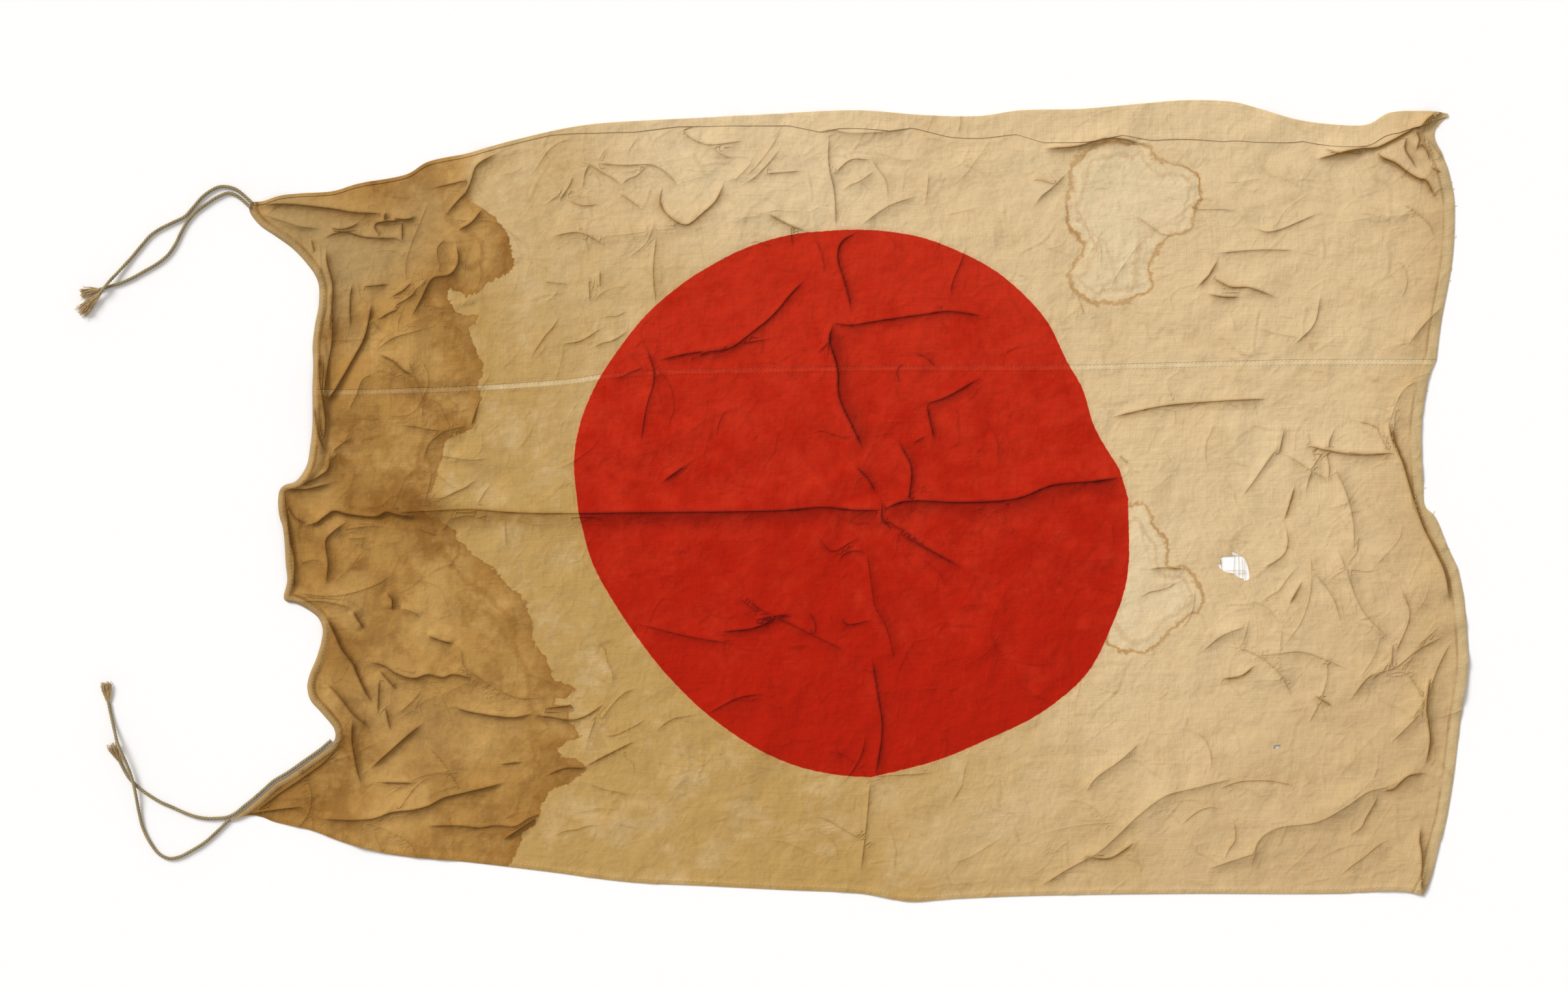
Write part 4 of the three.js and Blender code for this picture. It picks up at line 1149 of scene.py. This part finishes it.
    band_gap = 0.314  # from one band to the next in a wave texture whose scale is one
    weave = maths("ADD", *(
        add_node(tree, "ShaderNodeTexWave", {"bands_direction": direction}, {
            "Vector": threads, "Scale": band_gap / settings.thread_gap, "Distortion": 0.6,
            "Detail": 1.0})
        for direction in ("X", "Y")))
    relief = add_node(tree, "ShaderNodeBump", {}, {
        "Strength": 0.3, "Distance": 0.0004, "Height": maths("MULTIPLY_ADD", weave, 0.5, slubs)})
    puckers = maths("ADD", maths("MULTIPLY", mottle(75.0, 4.0, 0.55), 0.5),
                    maths("MULTIPLY", mottle(22.0, 3.0, 0.5), 2.2))
    relief = add_node(tree, "ShaderNodeBump", {}, {
        "Strength": 0.6, "Distance": 0.0045, "Height": puckers, "Normal": relief})
    relief = add_node(tree, "ShaderNodeBump", {}, {
        "Strength": 0.8, "Distance": 0.0025, "Height": maths("MULTIPLY_ADD", network, 0.22, line),
        "Normal": relief})
    surface = add_node(tree, "ShaderNodeBsdfPrincipled", {}, {
        "Base Color": colour, "Roughness": 0.95, "Specular IOR Level": 0.1,
        "Sheen Weight": 0.03, "Sheen Roughness": 0.5, "Normal": relief})
    add_node(tree, "ShaderNodeOutputMaterial", {}, {"Surface": surface})
    return material


def twisted_cotton(name, fibre):
    """Soft-laid cotton cord, greyed by handling. It's matt, with fine fibres along each strand."""
    material, tree = new_material(name)
    place = add_node(tree, "ShaderNodeTexCoord").outputs["Object"]
    blotches = add_node(tree, "ShaderNodeTexNoise", {}, {
        "Vector": place, "Scale": 90.0, "Detail": 4.0, "Roughness": 0.65})
    fine = add_node(tree, "ShaderNodeTexNoise", {}, {
        "Vector": place, "Scale": 1500.0, "Detail": 3.0, "Roughness": 0.6})
    colour = add_node(tree, "ShaderNodeMix", {"data_type": "RGBA"}, {
        0: blotches.outputs["Fac"], 6: [0.55 * c for c in fibre[:3]] + [1.0],
        7: [min(1.0, 1.35 * c) for c in fibre[:3]] + [1.0]}).outputs[2]
    relief = add_node(tree, "ShaderNodeBump", {}, {
        "Strength": 0.6, "Distance": 0.0004, "Height": fine.outputs["Fac"]})
    surface = add_node(tree, "ShaderNodeBsdfPrincipled", {}, {
        "Base Color": colour, "Roughness": 0.95, "Specular IOR Level": 0.2,
        "Sheen Weight": 0.1, "Normal": relief})
    add_node(tree, "ShaderNodeOutputMaterial", {}, {"Surface": surface})
    return material


def sewing_thread():
    """Cotton sewing thread: dull, paler than the cloth, and dyed or stained along with it."""
    material = bpy.data.materials.get("sewing_thread")
    if material:
        return material
    material, tree = new_material("sewing_thread")
    colour = linear("#D0BC93")
    for name, tint in (("tide", linear("#B48D52")), ("disc", linear("#B62812"))):
        depth = add_node(tree, "ShaderNodeAttribute", {"attribute_name": name})
        inside = add_node(tree, "ShaderNodeMath", {"operation": "GREATER_THAN"},
                          {0: depth.outputs["Fac"], 1: 0.0})
        colour = add_node(tree, "ShaderNodeMix", {"data_type": "RGBA"},
                          {0: inside, 6: colour, 7: tint}).outputs[2]
    surface = add_node(tree, "ShaderNodeBsdfPrincipled", {}, {
        "Base Color": colour, "Roughness": 0.9, "Specular IOR Level": 0.2})
    add_node(tree, "ShaderNodeOutputMaterial", {}, {"Surface": surface})
    return material


def floor_paint(settings):
    """Matt white paint on board, which gives an even, pale and dull surface."""
    material, tree = new_material("matt_white_paint")
    surface = add_node(tree, "ShaderNodeBsdfPrincipled", {}, {
        "Base Color": list(settings.floor), "Roughness": 0.9, "Specular IOR Level": 0.2})
    add_node(tree, "ShaderNodeOutputMaterial", {}, {"Surface": surface})
    return material


# ---------------------------------------------------------------- yarns and cords

STEPS_IN_A_LAY = 8
STRAND_SHARE = 0.26  # a strand's radius, as a share of the cord's diameter
SEWN_STEPS = np.array([2.4, 1.2])  # how many steps before its route a tie is carried into the hem
YARN_RADIUS = 0.00033
YARN_POINTS = 14
LOWEST_YARN = 0.0005

def yarns_mesh(name, paths, radius, sides_setting):
    """One mesh of round yarns along many open paths, in metres, with closed ends."""
    curve = bpy.data.curves.new(name, "CURVE")
    curve.dimensions = "3D"
    curve.bevel_depth = radius
    curve.bevel_resolution = sides_setting
    curve.use_fill_caps = True
    for path in paths:
        spline = curve.splines.new("POLY")
        spline.points.add(len(path) - 1)
        spline.points.foreach_set("co", np.hstack([path, np.ones((len(path), 1))]).ravel())
    carrier = object_with(name + "_curve", curve)
    mesh = bpy.data.meshes.new_from_object(
        carrier.evaluated_get(bpy.context.evaluated_depsgraph_get()))
    bpy.data.objects.remove(carrier)
    bpy.data.curves.remove(curve)
    mesh.name = name
    mesh.shade_smooth()
    return object_with(name, mesh)


def cord_axes(line):
    """The sideways and upward directions at each point of a line."""
    heading = np.gradient(line, axis=0)
    heading /= np.linalg.norm(heading, axis=1)[:, None]
    side = np.cross(heading, (0, 0, 1))
    side /= np.linalg.norm(side, axis=1)[:, None]
    return side, np.cross(side, heading)


def even_line(route, step):
    """A route as a smooth line with evenly spaced points, and its length."""
    line = smooth_line(route)
    length = np.linalg.norm(np.diff(line, axis=0), axis=1).sum()
    return along(line, np.linspace(0, 1, max(3, round(length / step) + 1))), length


def make_tie(name, settings, material):
    """A tie's twisted strands, with the line along its middle and that line's length."""
    route, _, _ = TIES[name]
    line, length = even_line(route, settings.lay / STEPS_IN_A_LAY)
    sewn_in = line[0] - SEWN_STEPS[:, None] * (line[1] - line[0])
    shown = np.vstack([sewn_in, line])
    side, up = cord_axes(shown)
    strand = settings.diameter * STRAND_SHARE
    offset = settings.diameter / 2 - strand
    turns = np.linspace(0, len(shown) / STEPS_IN_A_LAY * 2 * math.pi, len(shown))
    paths = []
    for k in range(settings.strands):
        angle = (turns + 2 * math.pi * k / settings.strands)[:, None]
        paths.append(shown + offset * (np.cos(angle) * side + np.sin(angle) * up))
    piece = yarns_mesh("cord_" + name, paths, strand, 1)
    piece.data.materials.append(material)
    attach(piece, "root")
    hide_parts("tie_" + name)
    return piece, line, length


def make_frayed_end(name, settings, material):
    """The tie's strands opened into a flat brush of crimped yarns."""
    route, tip, width = TIES[name]
    start = np.array(route[-1])
    before = np.array(route[-2])
    heading = (start - before) / np.linalg.norm(start - before)
    end = np.array([*tip, width / 4 + 0.0003])
    length = np.linalg.norm(end - start)
    axis = (end - start) / length
    side = np.cross(axis, (0, 0, 1))
    side /= np.linalg.norm(side)
    draws = random.Random("frayed " + name)
    paths = []
    for _ in range(settings.yarns):
        turn = draws.uniform(0, 2 * math.pi)
        out = math.sqrt(draws.random())
        reach = draws.uniform(0.72, 1.04)
        crimp = draws.uniform(0.0003, 0.0009)
        phase = draws.uniform(0, 2 * math.pi)
        bend = draws.uniform(-0.0015, 0.0015)
        path = []
        for t in np.linspace(-0.12, 1, YARN_POINTS):
            opened = max(0, t) ** 0.7
            spread = 0.4 * settings.diameter * (1 - opened) + 0.62 * width * opened
            middle = start + (axis * max(t, 0) + heading * min(t, 0)) * length * reach
            sideways = out * spread * math.cos(turn) + bend * t * t
            sideways += crimp * t * math.sin(phase + 9 * t)
            upward = out * spread * 0.5 * math.sin(turn) + crimp * t * math.cos(phase + 11 * t)
            spot = middle + side * sideways + np.array([0, 0, upward])
            spot[2] = max(spot[2], LOWEST_YARN)
            path.append(spot)
        paths.append(np.array(path))
    piece = yarns_mesh("yarns_" + name, paths, YARN_RADIUS, 0)
    piece.data.materials.append(material)
    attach(piece, "root")
    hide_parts("frayed_end_" + name)
    return piece


# ---------------------------------------------------------------- sewing

STITCH = (0.0014, 0.0004, 0.0004)  # half a stitch's length, width and height
# Rows of stitches: the line they follow, how far to its left they are, and the stitches' gap.
SEWN = [
    (SEAM_LINE, -1.2, 5.0),
    (SEAM_LINE, -6.2, 5.0),
    (EDGES["fly"], 10.5, 4.6),
    (EDGES["hoist"], -6.5, 4.6),
    (EDGES["bottom"], 5.5, 5.2),
]


def cloth_surface(name):
    """A finished cloth's faces, to drop things onto."""
    return BVHTree.FromObject(bpy.data.objects[name], bpy.context.evaluated_depsgraph_get())


def height_on(surfaces, x, y):
    """The height of the highest surface at a plan point in metres, or None off the cloth."""
    hits = [surface.ray_cast(Vector((x, y, 1)), Vector((0, 0, -1)))[0] for surface in surfaces]
    return max((hit.z for hit in hits if hit), default=None)


# ---------------------------------------------------------------- operators


class FLAG_OT_camera(bpy.types.Operator):
    """Set up the camera, which looks straight down on the flag"""

    bl_idname = "flag.camera"
    bl_label = "Add the camera"

    CENTRE = (-0.082, 0.008)  # midway between the ties' ends and the fly
    FOCAL_LENGTH, SENSOR_WIDTH = 85, 36  # in millimetres

    def execute(self, context):
        view_width = context.scene.flag_stage.view_width
        lens = bpy.data.cameras.new("camera")
        lens.lens = self.FOCAL_LENGTH
        lens.sensor_width = self.SENSOR_WIDTH
        camera = object_with("camera", lens)
        camera.location = (*self.CENTRE, view_width * self.FOCAL_LENGTH / self.SENSOR_WIDTH)
        context.scene.camera = camera
        return {"FINISHED"}


class FLAG_OT_ties(bpy.types.Operator):
    """Make the four cord ties and their frayed ends"""

    bl_idname = "flag.ties"
    bl_label = "Make the ties"

    def execute(self, context):
        settings = context.scene.flag_cord
        fibre = twisted_cotton("laid_cotton_cord", list(settings.fibre))
        frayed = twisted_cotton("frayed_cotton_yarn", list(settings.frayed))
        for name, (route, _, _) in TIES.items():
            tie, line, length = make_tie(name, settings, fibre)
            brush = make_frayed_end(name, settings, frayed)
        return {"FINISHED"}


class FLAG_OT_lower_cloth(bpy.types.Operator):
    """Make the wide lower cloth, with its hems, its side of the seam and its holes"""

    bl_idname = "flag.lower_cloth"
    bl_label = "Make the lower cloth"

    HOLE_SNAP = 1.6  # vertices this near to a hole's edge are moved onto it
    HEM = 7  # the bottom hem's and the seam's width

    def execute(self, context):
        settings = context.scene.flag_cloth
        edges = [
            smooth_line(BOTTOM), SEAM_LINE - (0, SEAM_GAP / 2), smooth_line(HOIST_LOWER),
            smooth_line(FLY_LOWER)]
        size = (1.55, 0.69)

        def place(u, v):
            return patch(*edges, u, v)

        plan = ClothPlan(settings, size, place, snap=self.HOLE_SNAP)
        points, marks = plan.points, plan.marks
        clear_of_sides = bump(plan.edge / plan.width)
        above = plan.thickness + plan.side_hems()
        for name, share in (("bottom", 0.8), ("below_seam", 0.35)):
            above += rolled_hem(marks[name], self.HEM, plan.extra * share) * clear_of_sides
        under = plan.lift + hoist_roll(points, marks["hoist"])
        outer = np.column_stack([points, under]) * MM
        inner = np.column_stack([points, under + above]) * MM
        piece = sheet_from(plan.bm, outer, inner, marks, plan.spots * size, "lower_cloth")
        finish_cloth(piece, "lower_panel", woven_cotton(settings))
        return {"FINISHED"}


class FLAG_OT_upper_cloth(bpy.types.Operator):
    """Make the narrow upper cloth, with its hems and its turned-over margin"""

    bl_idname = "flag.upper_cloth"
    bl_label = "Make the upper cloth"

    MAIN, UNDER, BEND = 0.84, 0.90, 0.93  # shares of the way up at which each stretch ends
    ROUND = 0.8  # how far the bend stands out past the two layers' ends
    PRESSED_TO = -400

    def execute(self, context):
        settings = context.scene.flag_cloth
        top = smooth_line(TOP)
        widths = np.array(MARGIN, float)
        margin_line = top - np.column_stack(
            [np.zeros(len(top)), np.interp(top[:, 0], widths[:, 0], widths[:, 1])])
        edges = [
            SEAM_LINE + (0, SEAM_GAP / 2), margin_line, smooth_line(HOIST_UPPER),
            smooth_line(FLY_UPPER)]
        size = (1.55, 0.39)

        def place(u, v):
            """Plan points. Past the margin's line they go on to the top edge and come back."""
            main = patch(*edges, u, np.clip(v / self.MAIN, 0, 1))
            edge = along(top, u)
            width = np.interp(edge[:, 0], widths[:, 0], widths[:, 1])
            going = np.clip((v - self.MAIN) / (self.UNDER - self.MAIN), 0, 1)
            coming = np.clip((v - self.BEND) / (1 - self.BEND), 0, 1)
            inset = width + (width - self.ROUND) * (coming - going)
            turned = edge - np.column_stack([np.zeros(len(u)), inset])
            return np.where((v > self.MAIN)[:, None], turned, main)

        plan = ClothPlan(settings, size, place)
        points, marks, thickness = plan.points, plan.marks, plan.thickness
        up = plan.spots[:, 1]
        plain = 1 - bump((up - 0.8 * self.MAIN) / (0.2 * self.MAIN))
        above = thickness + plan.side_hems() * plain
        under = plan.lift + hoist_roll(points, marks["hoist"]) * plain
        # Round the bend the two faces change places. The margin lies a little above the cloth,
        # except towards the hoist, where it is pressed onto it.
        bend = np.clip((up - self.UNDER) / (self.BEND - self.UNDER), 0, 1)
        x = points[:, 0]
        gap = 0.35 + 0.2 * np.sin(x / 37) * np.sin(x / 91)
        gap *= 0.15 + 0.85 * bump((x - self.PRESSED_TO) / 90)
        centre = under + thickness + gap / 2
        radius = thickness + gap / 2
        turn = np.pi * bend
        past = up > self.UNDER
        outward = np.where(past, np.sin(turn), 0) * self.ROUND
        outer_z = np.where(past, centre - radius * np.cos(turn), under)
        inner_z = np.where(past, centre - gap / 2 * np.cos(turn), under + above)
        outer = np.column_stack([x, points[:, 1] + outward, outer_z]) * MM
        inner = np.column_stack([x, points[:, 1] + outward * 0.3, inner_z]) * MM
        piece = sheet_from(plan.bm, outer, inner, marks, plan.spots * size, "upper_cloth")
        finish_cloth(piece, "upper_panel", woven_cotton(settings))
        return {"FINISHED"}


class FLAG_OT_sewing(bpy.types.Operator):
    """Sew rows of stitches along the seam and the hems"""

    bl_idname = "flag.sewing"
    bl_label = "Sew the stitches"

    def execute(self, context):
        cloths = [cloth_surface(name) for name in ("lower_cloth", "upper_cloth")]
        bm = bmesh.new()
        places = []
        for line, inset, gap in SEWN:
            steps = round(np.linalg.norm(np.diff(line, axis=0), axis=1).sum() / gap)
            spots = along(line, (np.arange(steps) + 0.5) / steps)
            heading = np.gradient(spots, axis=0)
            heading /= np.linalg.norm(heading, axis=1)[:, None]
            inward = np.column_stack([-heading[:, 1], heading[:, 0]]) * inset
            for (x, y), (dx, dy) in zip((spots + inward) * MM, heading):
                z = height_on(cloths, x, y)
                if z is None:
                    continue
                stitch = (Matrix.Translation((x, y, z + 0.0001))
                          @ Matrix.Rotation(math.atan2(dy, dx), 4, "Z")
                          @ Matrix.Diagonal((*STITCH, 1)))
                made = bmesh.ops.create_icosphere(bm, subdivisions=1, radius=1, matrix=stitch)
                places += [(x / MM, y / MM)] * len(made["verts"])
        piece = piece_from(bm, "stitches")
        for name, outline in (("disc", DISC), ("tide", TIDE_AREA)):
            layer = piece.data.attributes.new(name, "FLOAT", "POINT")
            layer.data.foreach_set("value", depth_inside(np.array(places), outline, 60))
        piece.data.materials.append(sewing_thread())
        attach(piece, "root")
        return {"FINISHED"}


class FLAG_OT_loose_threads(bpy.types.Operator):
    """Add the threads left across the holes, and those that hang off the worn fly"""

    bl_idname = "flag.loose_threads"
    bl_label = "Add the loose threads"

    HOLES_THREADS = (14, 4)  # across the large hole and the small one
    FLY_THREADS = 36
    RADIUS = 0.00024

    def execute(self, context):
        draws = random.Random("worn edges")
        paths = []
        for line, count in zip(HOLE_LINES, self.HOLES_THREADS):
            low, high = line.min(axis=0), line.max(axis=0)
            for k in range(count):
                # Every other thread runs level, and the rest upright.
                level = k % 2
                start = np.array([draws.uniform(a, b) for a, b in zip(low, high)])
                end = start.copy()
                start[1 - level] = low[1 - level] - 1
                end[1 - level] = high[1 - level] + 1
                shares = np.linspace(0, 1, 9)[:, None]
                path = start + (end - start) * shares
                path += 0.4 * np.sin(shares * draws.uniform(3, 9) + k)
                inside = depth_inside(path, line, 40) > -1.2
                if inside.sum() < 3:
                    continue
                path = path[inside]
                height = np.full(len(path), draws.uniform(1.0, 1.9))
                paths.append(np.column_stack([path, height]) * MM)
        fly = EDGES["fly"]
        for _ in range(self.FLY_THREADS):
            start = along(fly, np.array([draws.random()]))[0]
            turn = draws.gauss(0, 0.8)
            length = draws.uniform(2, 6)
            shares = np.linspace(0, 1, 6)[:, None]
            turns = turn + shares * draws.gauss(0, 0.9)
            steps = np.column_stack([np.cos(turns), np.sin(turns)]) * length * shares
            height = 1.1 - 0.8 * shares
            paths.append(np.column_stack([start - (1.5, 0) + steps, height]) * MM)
        piece = yarns_mesh("loose_threads", paths, self.RADIUS, 0)
        piece.data.materials.append(sewing_thread())
        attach(piece, "root")
        return {"FINISHED"}


class FLAG_OT_stage(bpy.types.Operator):
    """Add the pale floor and the soft light from the upper hoist side"""

    bl_idname = "flag.stage"
    bl_label = "Add the stage"

    FLOOR_REACH = 40  # metres each way, past the horizon of a low view
    FLOOR_GAP = 0.0002  # so that the floor and the cloth's underside never share a plane
    TOWARDS_KEY = (-0.62, 0.6, 0.62)
    KEY_SPREAD = 26  # degrees, as wide as a large softbox looks

    def execute(self, context):
        settings = context.scene.flag_stage
        bm = bmesh.new()
        bmesh.ops.create_grid(bm, x_segments=1, y_segments=1, size=self.FLOOR_REACH)
        bmesh.ops.translate(bm, verts=bm.verts, vec=(0, 0, -self.FLOOR_GAP))
        floor = piece_from(bm, "floor")
        floor.data.materials.append(floor_paint(settings))

        lamp = bpy.data.lights.new("key", "SUN")
        lamp.energy = settings.sun
        lamp.angle = math.radians(self.KEY_SPREAD)
        key = object_with("key", lamp)
        key.rotation_euler = Vector(self.TOWARDS_KEY).to_track_quat("Z", "Y").to_euler()

        world = bpy.data.worlds.new("studio")
        world.use_nodes = True
        background = world.node_tree.nodes["Background"]
        background.inputs["Color"].default_value = linear("#FDFBF8")
        background.inputs["Strength"].default_value = settings.sky
        context.scene.world = world
        context.scene.view_settings.view_transform = "Standard"
        return {"FINISHED"}


class FLAG_PT_panel(bpy.types.Panel):
    """Lists the flag's operators and settings"""

    bl_label = "Worn cotton flag"
    bl_idname = "FLAG_PT_panel"
    bl_space_type = "VIEW_3D"
    bl_region_type = "UI"
    bl_category = "Flag"

    def draw(self, context):
        for step in STEPS:
            self.layout.operator(step.bl_idname)
        for group in ("flag_cloth", "flag_cord", "flag_stage"):
            settings = getattr(context.scene, group)
            for name in settings.__annotations__:
                self.layout.prop(settings, name)


STEPS = [
    FLAG_OT_camera, FLAG_OT_ties, FLAG_OT_lower_cloth, FLAG_OT_upper_cloth, FLAG_OT_sewing,
    FLAG_OT_loose_threads, FLAG_OT_stage,
]
SETTINGS = {
    "flag_cloth": FlagClothSettings,
    "flag_cord": FlagCordSettings,
    "flag_stage": FlagStageSettings,
}


def register():
    """Make the operators, the panel and the settings known."""
    for kind in [*SETTINGS.values(), *STEPS, FLAG_PT_panel]:
        bpy.utils.register_class(kind)
    for name, kind in SETTINGS.items():
        setattr(bpy.types.Scene, name, PointerProperty(type=kind))


def unregister():
    """Take back what register did."""
    for name in SETTINGS:
        delattr(bpy.types.Scene, name)
    for kind in reversed([*SETTINGS.values(), *STEPS, FLAG_PT_panel]):
        bpy.utils.unregister_class(kind)


def main():
    """Make the flag and its stage."""
    register()
    bpy.ops.flag.camera()
    bpy.ops.flag.ties()
    bpy.ops.flag.lower_cloth()
    bpy.ops.flag.upper_cloth()
    bpy.ops.flag.sewing()
    bpy.ops.flag.loose_threads()
    bpy.ops.flag.stage()
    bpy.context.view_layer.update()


if __name__ == "__main__":
    main()
